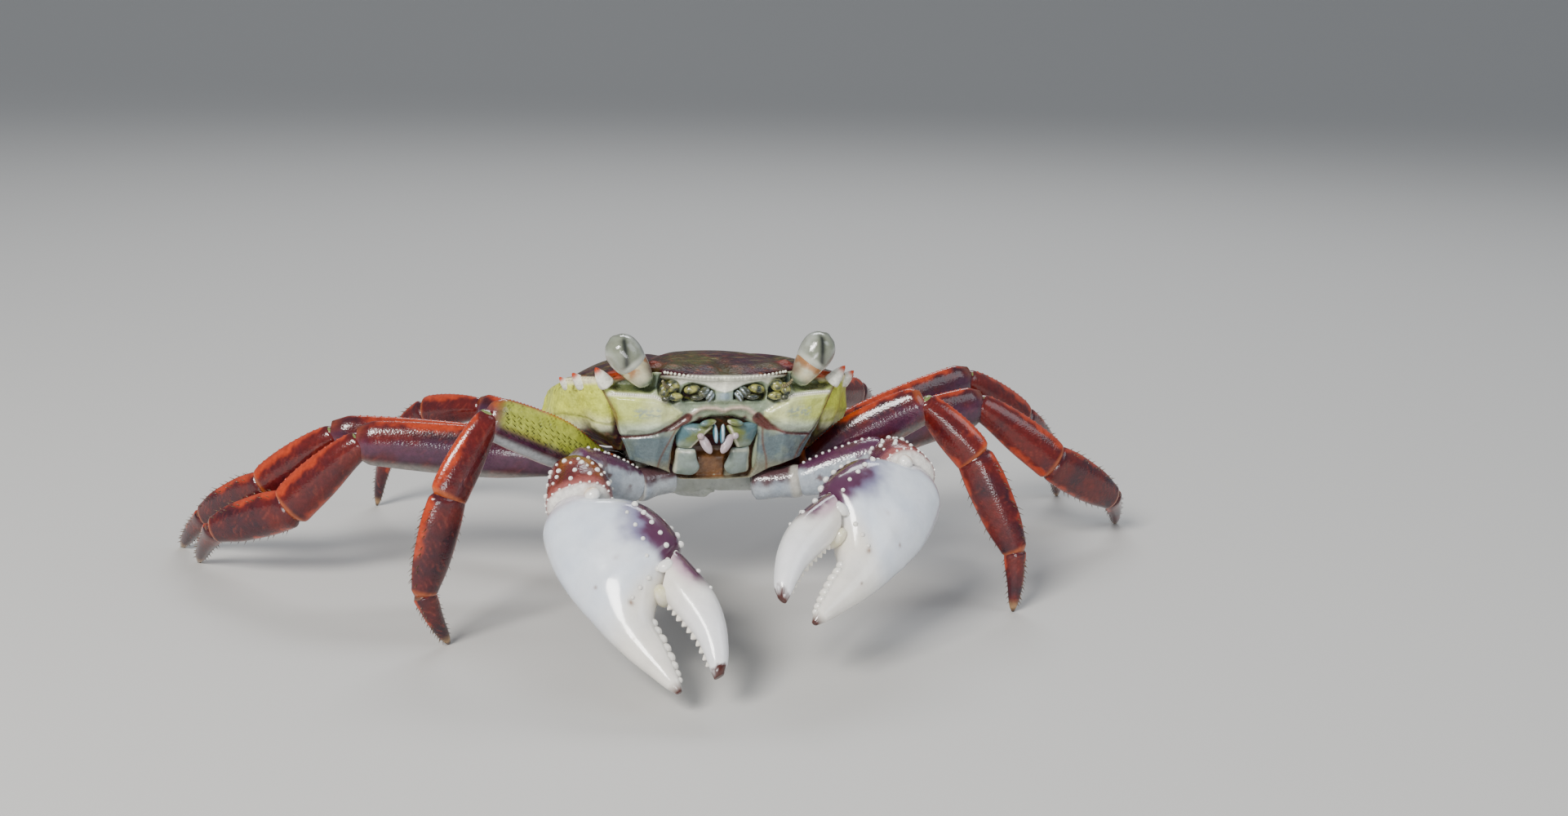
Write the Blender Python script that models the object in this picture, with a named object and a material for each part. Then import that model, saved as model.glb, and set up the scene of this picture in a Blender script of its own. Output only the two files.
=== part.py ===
"""Shore crab, a still life-size model, standing on its eight walking legs with both claws lowered in front.

The crab faces -Y and +Z is up. Its left side is at +X. Shapes are made in millimetres and written in metres.
The body is modelled level in its own frame (x across, y to the rear, z up) and then tipped nose-up.
"""

import math

import bmesh
import bpy
from mathutils import Matrix, Vector

MM = 0.001
CUT = 0.3               # clear width left between two pieces

# Body, in its own frame
BODY_HEIGHT = 31.0      # of the body's origin above the ground
NOSE_UP = 13.0          # degrees
LEAN = 1.5              # degrees, towards its left
HALF_WIDTH = 24.6       # carapace, without the bulge of its flanks
FRONT_Y = -22.0
REAR_Y = 21.6
DOME_Z = 9.2            # highest part of the back
UNDERSIDE_Z = -5.5      # the carapace's lower rim at the sides, where the legs leave the body
SIDES = (("r", -1), ("l", 1))


def clear_scene():
    for obj in list(bpy.data.objects):
        bpy.data.objects.remove(obj, do_unlink=True)


def material(name, colour, roughness=0.35, metallic=0.0):
    mat = bpy.data.materials.new(name)
    mat.use_nodes = True
    shader = mat.node_tree.nodes["Principled BSDF"]
    shader.inputs["Base Color"].default_value = (*colour, 1.0)
    shader.inputs["Roughness"].default_value = roughness
    shader.inputs["Metallic"].default_value = metallic
    mat.diffuse_color = (*colour, 1.0)
    return mat


def body_matrix():
    tip = Matrix.Rotation(math.radians(-NOSE_UP), 4, "X") @ Matrix.Rotation(math.radians(LEAN), 4, "Y")
    return Matrix.Translation((0, 0, BODY_HEIGHT)) @ tip


BODY = body_matrix()


def body_point(side, x, y, z):
    return BODY @ Vector((side * x, y, z))


def body_direction(x, y, z):
    return (BODY.to_3x3() @ Vector((x, y, z))).normalized()


def make_piece(name, bm, mat):
    """Turns a bmesh in millimetres into a named object under the crab's empty."""
    bmesh.ops.recalc_face_normals(bm, faces=bm.faces)
    if bm.calc_volume(signed=True) < 0:
        bmesh.ops.reverse_faces(bm, faces=bm.faces)
    bmesh.ops.scale(bm, vec=(MM, MM, MM), verts=bm.verts)
    mesh = bpy.data.meshes.new(name)
    bm.to_mesh(mesh)
    bm.free()
    mesh.materials.append(mat)
    mesh.shade_smooth()
    mesh.set_sharp_from_angle(angle=math.radians(40))
    obj = bpy.data.objects.new(name, mesh)
    bpy.context.scene.collection.objects.link(obj)
    obj.parent = crab
    return obj


def superellipse(angle, power):
    """A point of a rounded box's section: power 2 is an ellipse, and more is boxier."""
    bend = 2.0 / power
    cosine, sine = math.cos(angle), math.sin(angle)
    return (math.copysign(abs(cosine) ** bend, cosine), math.copysign(abs(sine) ** bend, sine))


def tube(rings, start, end, around=8, power=2.2):
    """A closed tube through oval rings, each (centre, up, side): the vectors reach its oval's rim."""
    bm = bmesh.new()
    steps = len(rings) + 1
    bmesh.ops.create_uvsphere(bm, u_segments=around, v_segments=steps, radius=1.0)
    for vert in bm.verts:
        step = round(math.acos(max(-1.0, min(1.0, vert.co.z))) / math.pi * steps)
        if step == 0:
            vert.co = start
        elif step == steps:
            vert.co = end
        else:
            centre, up, side = rings[step - 1]
            high, wide = superellipse(math.atan2(vert.co.y, vert.co.x), power)
            vert.co = centre + high * up + wide * side
    return bm


def cut_away(bm, point, normal):
    """Removes what lies past a plane, on the side its normal points to, and closes the cut."""
    geometry = bm.verts[:] + bm.edges[:] + bm.faces[:]
    cut = bmesh.ops.bisect_plane(
        bm, geom=geometry, dist=1e-5, plane_co=point, plane_no=normal, clear_outer=True
    )
    rim = [item for item in cut["geom_cut"] if isinstance(item, bmesh.types.BMEdge)]
    if rim:
        bmesh.ops.edgeloop_fill(bm, edges=rim)


def mitre(before, joint, after):
    """The plane that halves the bend at a joint, as its unit normal along the limb."""
    return ((joint - before).normalized() + (after - joint).normalized()).normalized()


def segment(start, end, upright, profile, reach=(0.3, 0.3), around=8, power=2.2):
    """A limb segment. Its profile lists (share of length, half height, half thickness, lift)."""
    along = end - start
    length = along.length
    along.normalize()
    up = (upright - upright.dot(along) * along).normalized()
    side = along.cross(up)
    first, last = profile[0], profile[-1]
    stations = [(first[0] - reach[0], *first[1:]), *profile, (last[0] + reach[1], *last[1:])]
    rings = []
    for share, high, thick, lift in stations:
        centre = start + along * (share * length) + up * lift
        rings.append((centre, up * high, side * thick))
    return tube(rings, rings[0][0], rings[-1][0], around, power)


# Walking legs. A profile gives (share of length, half height, half thickness, lift) along each segment.
HIP = ((0.0, 2.5, 2.5, 0.0), (0.55, 2.3, 2.2, 0.0), (1.0, 2.3, 1.9, 0.0))
THIGH = (
    (0.0, 2.2, 1.8, 0.0), (0.16, 3.0, 1.9, 0.1), (0.4, 4.2, 2.2, 0.2), (0.68, 4.2, 2.1, 0.2),
    (1.0, 3.5, 2.0, 0.0),
)
CARPUS = ((0.0, 2.2, 1.7, 0.0), (0.22, 2.8, 2.0, 0.3), (0.55, 3.5, 2.1, 0.3), (1.0, 3.5, 2.0, 0.0))
PROPODUS = ((0.0, 3.4, 2.0, 0.0), (0.3, 3.7, 2.0, 0.1), (0.7, 3.3, 1.8, 0.1), (1.0, 2.3, 1.5, 0.0))
DACTYL = (
    (0.0, 2.1, 1.4, 0.0), (0.2, 1.9, 1.3, 0.0), (0.5, 1.5, 1.1, 0.2), (0.8, 1.0, 0.8, 0.1),
    (0.96, 0.55, 0.5, 0.0),
)

# A walking leg: where its hip leaves the body, the lengths of its five segments, how much narrower it is than
# the widest leg, and each segment's heading (degrees forward of straight out) and rise (degrees), hip first.
# The last segment has no rise of its own: it reaches down to the ground.
LEGS = {
    "leg1_r": (
        (12.0, -5.5, -9.5), (5.5, 23.3, 13.5, 14.9, 10.4), 0.9,
        ((25, 16), (25, 27), (25, -60), (16, -73), (-140, 0)),
    ),
    "leg1_l": (
        (12.0, -5.5, -9.5), (5.5, 20.9, 12.1, 16.9, 9.9), 0.9,
        ((25, 14), (18, 28), (22, -48), (31, -63), (90, 0)),
    ),
    "leg2_r": (
        (12.5, 1.0, -9.5), (6.5, 36.1, 16.3, 15.8, 13.5), 1.0,
        ((-3, 5), (-11, 5), (-14, -41), (-34, -24), (-67, 0)),
    ),
    "leg2_l": (
        (12.5, 1.0, -9.5), (6.5, 34.1, 18.1, 18.0, 13.1), 1.0,
        ((-2, 2), (-9, 11), (4, -36), (-19, -32), (-56, 0)),
    ),
    "leg3_r": (
        (12.0, 7.5, -9.5), (6.5, 40.8, 15.5, 16.0, 12.6), 1.0,
        ((-19, 2), (-9, 6), (-21, -37), (-41, -30), (-57, 0)),
    ),
    "leg3_l": (
        (12.0, 7.5, -9.5), (6.5, 38.4, 17.0, 17.5, 12.4), 1.0,
        ((-18, -1), (-14, 15), (-19, -36), (-36, -39), (-56, 0)),
    ),
    "leg4_r": (
        (10.5, 13.5, -8.8), (6.0, 26.0, 13.0, 14.5, 11.5), 0.85,
        ((-48, -6), (-45, 9), (-43, -12), (-47, -42), (-60, 0)),
    ),
    "leg4_l": (
        (10.5, 13.5, -8.8), (6.0, 26.5, 13.0, 14.5, 11.5), 0.85,
        ((-48, -8), (-46, 11), (-43, -12), (-49, -42), (-58, 0)),
    ),
}
LEG_SEGMENTS = (
    ("coxa", HIP), ("merus", THIGH), ("carpus", CARPUS), ("propodus", PROPODUS), ("dactyl", DACTYL),
)

# Claw limbs: the hip, then segment lengths, headings and rises of ischium, merus and carpus, then the palm's
# heading, rise and roll (degrees that its upper margin turns about its axis).
CLAW_LIMBS = {
    "claw_r": ((8.5, -8.7, -12.0), (6.0, 12.0, 9.0), ((40, 12), (26, 20), (86, -22)), (112.0, -34.5, -59.0)),
    "claw_l": ((8.5, -8.7, -12.0), (7.5, 14.0, 9.0), ((40, 10), (16, 18), (84, -9)), (134.0, -23.5, 44.0)),
}
ISCHIUM = ((0.0, 2.6, 2.6, 0.0), (0.5, 2.5, 2.5, 0.0), (1.0, 2.6, 2.4, 0.0))
ARM = ((0.0, 2.6, 2.3, 0.0), (0.35, 3.4, 2.8, 0.1), (0.75, 3.7, 3.0, 0.1), (1.0, 3.3, 2.8, 0.0))
WRIST = ((0.0, 2.8, 2.6, 0.0), (0.25, 4.0, 3.5, 0.4), (0.65, 4.8, 4.2, 0.5), (1.0, 4.9, 4.3, 0.0))

# Palm and fingers in the claw's own frame: x along the palm, y towards its upper margin, z out of its outer
# face. Stations are (x, lower edge y, upper edge y, half thickness).
PALM = (
    (0.4, -5.6, 3.2, 3.8), (3.0, -6.9, 7.0, 4.6), (7.0, -7.5, 9.3, 5.1), (10.5, -7.5, 10.3, 5.1),
    (13.5, -7.1, 10.2, 4.9), (15.0, -6.8, 8.6, 4.7), (17.0, -6.3, 6.1, 4.3), (19.0, -5.9, 4.1, 3.8),
    (21.0, -5.5, 2.3, 3.3),
)
HINGE = (15.3, 8.1)              # a point on the slanted face that the free finger turns on
HINGE_SLOPE = (0.72, 0.69)       # that face's normal

FIXED_FINGER = ((22.4, 33.4), (-5.1, -0.9), (1.5, 0.2), (2.9, 0.8))     # x, lower y, upper y, half thickness
FREE_FINGER = (
    (14.5, 4.6, 9.4, 2.9), (18.0, 4.4, 10.2, 3.2), (21.3, 4.3, 10.8, 3.1), (24.6, 5.0, 10.8, 2.8),
    (28.0, 5.4, 10.1, 2.4), (31.5, 5.0, 8.6, 1.8), (34.2, 4.8, 7.0, 1.0),
)
BITE_TEETH = 5
TOOTH_HEIGHT = 0.7


def heading_vector(side, heading, rise):
    """A unit vector: heading is in degrees forward of straight out to that side, and rise above level."""
    turn, lift = math.radians(heading), math.radians(rise)
    return Vector((side * math.cos(turn) * math.cos(lift), -math.sin(turn) * math.cos(lift), math.sin(lift)))


def leg_joints(side, hip, lengths, courses):
    """The leg's joints from the body out. The last one is where the tip meets the ground."""
    joints = [body_point(side, *hip)]
    for length, (heading, rise) in zip(lengths[:-1], courses[:-1]):
        joints.append(joints[-1] + length * heading_vector(side, heading, rise))
    drop = -math.degrees(math.asin(joints[-1].z / lengths[-1]))
    joints.append(joints[-1] + lengths[-1] * heading_vector(side, courses[-1][0], drop))
    return joints


def scaled(profile, factor):
    return [(share, high * factor, thick * factor, lift * factor) for share, high, thick, lift in profile]


def walking_leg(name, mats):
    hip, lengths, factor, courses = LEGS[name]
    side = -1 if name.endswith("r") else 1
    joints = leg_joints(side, hip, lengths, courses)
    outward = heading_vector(side, courses[1][0], 0)
    flat_normal = outward.cross(Vector((0, 0, 1)))
    for index, (part, profile) in enumerate(LEG_SEGMENTS):
        start, end = joints[index], joints[index + 1]
        upright = flat_normal.cross(end - start)
        if upright.dot(outward + Vector((0, 0, 1))) < 0:
            upright.negate()
        bm = segment(start, end, upright, scaled(profile, factor))
        if index == 0:
            cut_away(bm, start + body_direction(side, 0, 0) * CUT, -body_direction(side, 0, 0))
        else:
            plane = mitre(joints[index - 1], start, end)
            cut_away(bm, start + plane * CUT / 2, -plane)
        if index < len(LEG_SEGMENTS) - 1:
            plane = mitre(start, end, joints[index + 2])
            cut_away(bm, end - plane * CUT / 2, plane)
        else:
            cut_away(bm, Vector((0, 0, 0)), Vector((0, 0, -1)))
        make_piece(f"{name}_{part}", bm, mats[part])


def claw_tube(stations, origin, frame, around=12, power=2.3):
    along, up, out = frame
    rings = []
    for x, low, high, thick in stations:
        rings.append((origin + along * x + up * (low + high) / 2, up * (high - low) / 2, out * thick))
    first = rings[0][0]
    last = rings[-1][0] + along * 0.5
    return tube(rings, first, last, around, power)


def between(pair, share):
    return pair[0] + (pair[1] - pair[0]) * share


def fixed_finger_stations():
    """The fixed finger's stations, whose biting edge rises and falls in a row of blunt teeth."""
    stations = []
    xs, lows, highs, thicks = FIXED_FINGER
    steps = 2 * BITE_TEETH
    for step in range(steps + 1):
        share = step / steps
        tooth = TOOTH_HEIGHT * (1 - 0.5 * share) if step % 2 else 0.0
        edges = (between(lows, share), between(highs, share) + tooth)
        stations.append((between(xs, share), *edges, between(thicks, share)))
    return tuple(stations)


def claw_limb(name, mats):
    hip, lengths, courses, palm = CLAW_LIMBS[name]
    side = -1 if name.endswith("r") else 1
    joints = [body_point(side, *hip)]
    for length, course in zip(lengths, courses):
        joints.append(joints[-1] + length * heading_vector(side, *course))
    along = heading_vector(side, palm[0], palm[1])
    level_up = (Vector((0, 0, 1)) - along.z * along).normalized()
    up = Matrix.Rotation(math.radians(palm[2]), 3, along) @ level_up
    out = up.cross(along) * side
    joints.append(joints[-1] + along * PALM[-1][0])
    base_normal = body_direction(side * 0.66, -0.75, 0)
    for index, (part, profile) in enumerate((("ischium", ISCHIUM), ("merus", ARM), ("carpus", WRIST))):
        start, end = joints[index], joints[index + 1]
        upright = Vector((0, 0, 1)) if index < 2 else up
        bm = segment(start, end, upright, profile, around=10)
        if index == 0:
            cut_away(bm, start, -base_normal)
        else:
            plane = mitre(joints[index - 1], start, end)
            cut_away(bm, start + plane * CUT / 2, -plane)
        plane = mitre(start, end, joints[index + 2])
        cut_away(bm, end - plane * CUT / 2, plane)
        make_piece(f"{name}_{part}", bm, mats[part])
    origin = joints[3]
    frame = (along, up, out)
    wrist_station = (PALM[0][0] - 4.0, *PALM[0][1:])
    bm = claw_tube((wrist_station, *PALM, *fixed_finger_stations()), origin, frame)
    plane = mitre(joints[2], origin, joints[4])
    cut_away(bm, origin + plane * CUT / 2, -plane)
    make_piece(f"{name}_palm", bm, mats["palm"])
    bm = claw_tube(FREE_FINGER, origin, frame, around=10)
    hinge_normal = along * HINGE_SLOPE[0] + up * HINGE_SLOPE[1]
    hinge_point = origin + along * HINGE[0] + up * HINGE[1]
    cut_away(bm, hinge_point + hinge_normal * 2 * CUT, -hinge_normal)
    make_piece(f"{name}_dactyl", bm, mats["finger"])


# Carapace outline from the middle of the front to the middle of the rear margin, on one side: (x, y, z).
OUTLINE = (
    (0.0, FRONT_Y, 5.5), (5.0, -21.8, 5.6), (9.6, -21.0, 5.8),                      # front
    (10.6, -19.4, 5.9), (13.6, -18.0, 5.9), (16.6, -17.5, 5.4),                     # upper edge of the orbit
    (18.7, -18.2, 5.0), (19.5, -15.6, 4.9),                                         # tooth outside the orbit
    (21.6, -13.4, 5.0), (21.4, -10.8, 4.7), (23.2, -8.8, 4.6), (23.2, -6.2, 4.3),   # two side teeth
    (24.2, -2.0, 3.4), (HALF_WIDTH, 2.5, 2.8), (23.9, 7.5, 2.4),                    # side margin
    (21.6, 12.6, 2.2), (18.0, 17.2, 2.4), (14.2, 20.4, 2.8),                        # rear corner
    (8.0, REAR_Y, 3.0), (0.0, REAR_Y, 3.0),                                         # rear margin
)
DOME_BEND = 2.6          # the back is a flat-topped dome: more is flatter in the middle
DOME_RINGS = (0.3, 0.55, 0.75, 0.9, 1.0)
DOME_CENTRE_Y = 0.0
# Walls under the margin: at each place along the outline, the height of the lower rim, and four rings as
# (share of the way down to the rim, inset from the margin).
WALLS = (
    (0, -10.6, ((0.13, 0.9), (0.30, 2.2), (0.46, 3.0), (1.0, 7.6))),                # middle of the face
    (2, -10.6, ((0.13, 0.9), (0.30, 1.4), (0.46, 2.2), (1.0, 6.8))),
    (4, -8.5, ((0.15, 0.4), (0.27, -0.9), (0.5, 0.3), (1.0, 4.0))),                 # under the orbit
    (6, -7.5, ((0.15, 0.3), (0.27, -0.1), (0.5, 0.1), (1.0, 5.0))),
    (9, -6.0, ((0.15, 0.3), (0.45, 1.7), (0.72, 3.4), (1.0, 6.5))),                 # over the first leg
    (12, -5.6, ((0.15, -0.4), (0.45, -0.9), (0.72, -0.1), (1.0, 4.0))),             # swollen flank
    (14, -5.5, ((0.15, -0.5), (0.45, -1.1), (0.72, -0.3), (1.0, 4.0))),
    (17, -3.0, ((0.2, 0.1), (0.5, 0.2), (0.8, 0.6), (1.0, 2.0))),                   # rear
    (19, -3.0, ((0.2, 0.1), (0.5, 0.2), (0.8, 0.6), (1.0, 2.0))),
)
UNDERSIDE_SHARE = 0.6
THROAT_Y = -8.0          # in front of it the underside slopes down to the mouth frame
THROAT_SLOPE = 0.8


def blend_walls(place):
    """The rim height and the wall rings at a place along the outline, between the two stated places."""
    for (low, low_rim, low_rings), (high, high_rim, high_rings) in zip(WALLS, WALLS[1:]):
        if low <= place <= high:
            share = (place - low) / (high - low)
            rings = [
                (between((low_down, high_down), share), between((low_inset, high_inset), share))
                for (low_down, low_inset), (high_down, high_inset) in zip(low_rings, high_rings)
            ]
            return between((low_rim, high_rim), share), rings
    raise ValueError(place)


def margin_normal(point):
    """Outward from a rounded box that the outline follows, so that a tooth doesn't turn it."""
    across, back = point.x / HALF_WIDTH, point.y / REAR_Y
    return Vector((across ** 3, back ** 3, 0)).normalized()


def smooth_margin(place):
    """The outline without its teeth."""
    last = len(OUTLINE) - 1
    total = Vector((0, 0, 0))
    for step, weight in ((-1, 0.25), (0, 0.5), (1, 0.25)):
        near = place + step
        mirrored = -near if near < 0 else 2 * last - near if near > last else near
        x, y, z = OUTLINE[mirrored]
        total += weight * Vector((-x if mirrored != near else x, y, z))
    return total


def underside_height(y):
    return UNDERSIDE_Z - max(0.0, THROAT_Y - y) * THROAT_SLOPE


def carapace_point(place, ring):
    """A point of the carapace on its left half: place counts along the outline and ring from the top down."""
    margin = Vector(OUTLINE[place])
    plain = smooth_margin(place) if 2 < place < 13 else margin
    if ring < len(DOME_RINGS):
        share = DOME_RINGS[ring]
        edge = margin if share == 1.0 else plain
        height = edge.z + (DOME_Z - edge.z) * (1 - share ** DOME_BEND)
        return Vector((edge.x * share, DOME_CENTRE_Y + (edge.y - DOME_CENTRE_Y) * share, height))
    rim, rings = blend_walls(place)
    normal = margin_normal(plain)
    step = ring - len(DOME_RINGS)
    if step < len(rings):
        down, inset = rings[step]
        edge = (margin + plain) / 2 if step == 0 else plain
        point = edge - normal * inset
        point.z = edge.z - down * (edge.z - rim)
        return point
    point = (plain - normal * rings[-1][1]) * UNDERSIDE_SHARE
    point.z = underside_height(point.y)
    return point


def carapace():
    half = len(OUTLINE) - 1
    around = 2 * half
    ring_count = len(DOME_RINGS) + len(WALLS[0][2]) + 1
    bm = bmesh.new()
    steps = ring_count + 1
    bmesh.ops.create_uvsphere(bm, u_segments=around, v_segments=steps, radius=1.0)
    for vert in bm.verts:
        ring = round(math.acos(max(-1.0, min(1.0, vert.co.z))) / math.pi * steps)
        turn = round(math.atan2(vert.co.y, vert.co.x) / math.tau * around) % around
        if ring == 0:
            vert.co = Vector((0, DOME_CENTRE_Y, DOME_Z))
        elif ring == steps:
            vert.co = Vector((0, DOME_CENTRE_Y, UNDERSIDE_Z))
        else:
            side = 1 if turn <= half else -1
            vert.co = carapace_point(turn if turn <= half else around - turn, ring - 1)
            vert.co.x *= side
    return bm


# Hollows of the face: the orbits, and the pits of the feelers beside the middle septum.
ORBIT_CENTRE = (14.2, -20.0, 4.3)
ORBIT_RADII = (4.6, 3.0, 1.9)
PIT_X = (0.9, 8.8)
PIT_BACK_Y = -19.0
PIT_Z = (0.9, 3.2)
# Mouth frame: its upper edge in the middle, and its plane, which leans back as it goes down.
MOUTH_TOP = Vector((0, -19.0, -1.5))
MOUTH_DOWN = Vector((0, 0.451, -0.892))
MOUTH_OUT = Vector((0, -0.892, -0.451))
MOUTH_HALF_WIDTH = 8.6
MOUTH_DEPTH = 2.0


def box_between(bm, corner, edges):
    """A box from a corner and its three edge vectors."""
    made = bmesh.ops.create_cube(bm, size=1.0)
    for vert in made["verts"]:
        shares = vert.co + Vector((0.5, 0.5, 0.5))
        vert.co = corner + sum((edge * share for edge, share in zip(edges, shares)), Vector((0, 0, 0)))


def make_cutter(name, bm, target):
    bmesh.ops.transform(bm, matrix=BODY, verts=bm.verts)
    cutter = make_piece(name, bm, target.data.materials[0])
    cutter.hide_render = True
    cutter.display_type = "WIRE"
    hollow = target.modifiers.new(name, "BOOLEAN")
    hollow.operation = "DIFFERENCE"
    hollow.object = cutter


def hollow_face(shell):
    for side_name, side in SIDES:
        orbit = bmesh.new()
        bmesh.ops.create_uvsphere(orbit, u_segments=10, v_segments=7, radius=1.0)
        bmesh.ops.scale(orbit, vec=ORBIT_RADII, verts=orbit.verts)
        centre = Vector((side * ORBIT_CENTRE[0], *ORBIT_CENTRE[1:]))
        bmesh.ops.translate(orbit, vec=centre, verts=orbit.verts)
        make_cutter(f"cut_orbit_{side_name}", orbit, shell)
        pit = bmesh.new()
        corner = Vector((side * PIT_X[0], PIT_BACK_Y, PIT_Z[0]))
        across = Vector((side * (PIT_X[1] - PIT_X[0]), 0, 0))
        box_between(pit, corner, (across, Vector((0, -6, 0)), Vector((0, 0, PIT_Z[1] - PIT_Z[0]))))
        make_cutter(f"cut_pit_{side_name}", pit, shell)
    mouth = bmesh.new()
    corner = MOUTH_TOP - MOUTH_OUT * MOUTH_DEPTH - Vector((MOUTH_HALF_WIDTH, 0, 0))
    box_between(mouth, corner, (Vector((2 * MOUTH_HALF_WIDTH, 0, 0)), MOUTH_DOWN * 14, MOUTH_OUT * 6))
    make_cutter("cut_mouth", mouth, shell)


# Outer jaw plates, in the mouth frame: (x from the middle, distance down), gaping in the middle.
JAW_OUTLINE = (
    (0.9, 0.9), (5.4, 0.6), (8.1, 1.2), (8.2, 6.0), (7.3, 9.8), (4.5, 10.6), (1.8, 10.4), (3.0, 6.0),
    (2.9, 5.0),
)
JAW_THICKNESS = 1.3


def jaw(side):
    bm = bmesh.new()
    rim = [bm.verts.new(MOUTH_TOP + Vector((side * x, 0, 0)) + MOUTH_DOWN * down) for x, down in JAW_OUTLINE]
    plate = bm.faces.new(rim)
    bulk = bmesh.ops.extrude_face_region(bm, geom=[plate])
    front = [item for item in bulk["geom"] if isinstance(item, bmesh.types.BMVert)]
    bmesh.ops.translate(bm, vec=-MOUTH_OUT * JAW_THICKNESS, verts=front)
    bmesh.ops.transform(bm, matrix=BODY, verts=bm.verts)
    return bm


# Eyes: stalk and cornea in one capsule. Stations are (share of length, radius).
EYE_BASE = (12.4, -20.3, 4.4)
EYE_TIP = (17.2, -20.9, 11.6)
EYE_PROFILE = ((0.0, 1.3), (0.12, 1.55), (0.3, 1.75), (0.48, 2.1), (0.65, 2.3), (0.82, 1.9), (0.94, 1.1))


def eye(side):
    base, tip = body_point(side, *EYE_BASE), body_point(side, *EYE_TIP)
    along = tip - base
    up = along.orthogonal().normalized()
    out = along.cross(up).normalized()
    rings = [(base + along * share, up * radius, out * radius) for share, radius in EYE_PROFILE]
    return tube(rings, base, tip, around=10, power=2.0)


# Feelers: a jointed base in the pit and a short whip. Stations are (x, y, z, radius).
FEELER = (
    (3.6, -19.9, 2.0, 0.8), (5.2, -20.1, 2.1, 0.95), (7.0, -20.0, 2.0, 0.9), (8.2, -20.4, 2.3, 0.55),
    (9.2, -21.4, 3.2, 0.35), (9.9, -22.5, 4.0, 0.3),
)


def feeler(side):
    points = [body_point(side, *station[:3]) for station in FEELER]
    rings = []
    for index, point in enumerate(points):
        ahead = points[min(index + 1, len(points) - 1)] - points[max(index - 1, 0)]
        up = body_direction(0, 0, 1)
        out = ahead.cross(up).normalized()
        up = out.cross(ahead).normalized()
        radius = FEELER[index][3]
        rings.append((point, up * radius, out * radius))
    return tube(rings, points[0], points[-1], around=8, power=2.0)


# Breast plate between the legs: its outline from above on one side, and (height, share of width) down it.
BREAST_OUTLINE = (
    (0.0, -9.4), (6.5, -9.4), (8.6, -8.6), (11.6, -6.0), (12.0, 8.4), (10.3, 10.6), (9.4, 14.8), (6.0, 16.6),
    (0.0, 16.8),
)
BREAST_LEVELS = ((-6.1, 0.96), (-9.0, 1.0), (-12.6, 0.86))


def breast():
    bm = bmesh.new()
    outline = [*BREAST_OUTLINE, *((-x, y) for x, y in reversed(BREAST_OUTLINE[1:-1]))]
    height, share = BREAST_LEVELS[0]
    top = bm.faces.new([bm.verts.new((x * share, y * share, height)) for x, y in outline])
    layer = [top, *top.edges, *top.verts]
    for (old_height, old_share), (height, share) in zip(BREAST_LEVELS, BREAST_LEVELS[1:]):
        layer = bmesh.ops.extrude_face_region(bm, geom=layer)["geom"]
        verts = [item for item in layer if isinstance(item, bmesh.types.BMVert)]
        bmesh.ops.translate(bm, vec=(0, 0, height - old_height), verts=verts)
        bmesh.ops.scale(bm, vec=(share / old_share, share / old_share, 1), verts=verts)
    cut_away(bm, Vector((0, THROAT_Y, BREAST_LEVELS[0][0] - CUT)), Vector((0, -THROAT_SLOPE, 1)).normalized())
    bmesh.ops.transform(bm, matrix=BODY, verts=bm.verts)
    return bm


# Abdomen, folded under the breast plate: stations (y, z, half width) from behind the carapace to the throat.
ABDOMEN = (
    (22.2, 2.2, 7.0), (23.0, -0.5, 6.8), (22.3, -5.0, 6.6), (19.6, -9.6, 6.4), (15.8, -13.1, 6.0),
    (10.0, -13.7, 5.0),
    (4.0, -13.7, 3.6), (-1.5, -13.7, 2.4), (-5.0, -13.7, 1.4),
)
ABDOMEN_HALF_THICKNESS = 0.65


def abdomen():
    points = [body_point(1, 0, y, z) for y, z, width in ABDOMEN]
    across = body_direction(1, 0, 0)
    rings = []
    for index, point in enumerate(points):
        ahead = (points[min(index + 1, len(points) - 1)] - points[max(index - 1, 0)]).normalized()
        up = across.cross(ahead)
        rings.append((point, up * ABDOMEN_HALF_THICKNESS, across * ABDOMEN[index][2]))
    return tube(rings, points[0], points[-1], around=12, power=3.0)


def stand_on_origin(parts):
    """Moves the crab's empty so that the middle of its underside box is the origin."""
    bpy.context.view_layer.update()
    corners = [obj.matrix_world @ vert.co for obj in parts for vert in obj.data.vertices]
    low = Vector([min(corner[axis] for corner in corners) for axis in range(3)])
    high = Vector([max(corner[axis] for corner in corners) for axis in range(3)])
    crab.location = -Vector(((low.x + high.x) / 2, (low.y + high.y) / 2, low.z))


crab = None


def main():
    global crab
    clear_scene()
    crab = bpy.data.objects.new("crab", None)
    bpy.context.scene.collection.objects.link(crab)
    maroon = material("maroon_shell", (0.20, 0.02, 0.02))
    red = material("red_shell", (0.42, 0.05, 0.02))
    porcelain = material("porcelain_shell", (0.78, 0.82, 0.88), 0.2)
    purple = material("purple_shell", (0.13, 0.02, 0.05), 0.25)
    pale = material("pale_shell", (0.52, 0.55, 0.55))
    back = material("olive_shell", (0.30, 0.34, 0.10), 0.3)
    cornea = material("cornea", (0.25, 0.3, 0.27), 0.08)
    legs = {"coxa": pale, "merus": maroon, "carpus": red, "propodus": maroon, "dactyl": red}
    claws = {"ischium": pale, "merus": pale, "carpus": purple, "palm": porcelain, "finger": porcelain}
    for name in LEGS:
        walking_leg(name, legs)
    for name in CLAW_LIMBS:
        claw_limb(name, claws)
    shell = carapace()
    bmesh.ops.transform(shell, matrix=BODY, verts=shell.verts)
    hollow_face(make_piece("carapace", shell, back))
    make_piece("sternum", breast(), pale)
    make_piece("abdomen", abdomen(), pale)
    for side_name, side in SIDES:
        make_piece(f"maxilliped_{side_name}", jaw(side), pale)
        make_piece(f"eye_{side_name}", eye(side), cornea)
        make_piece(f"antenna_{side_name}", feeler(side), purple)
    stand_on_origin([obj for obj in crab.children if not obj.hide_render])


main()
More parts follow.
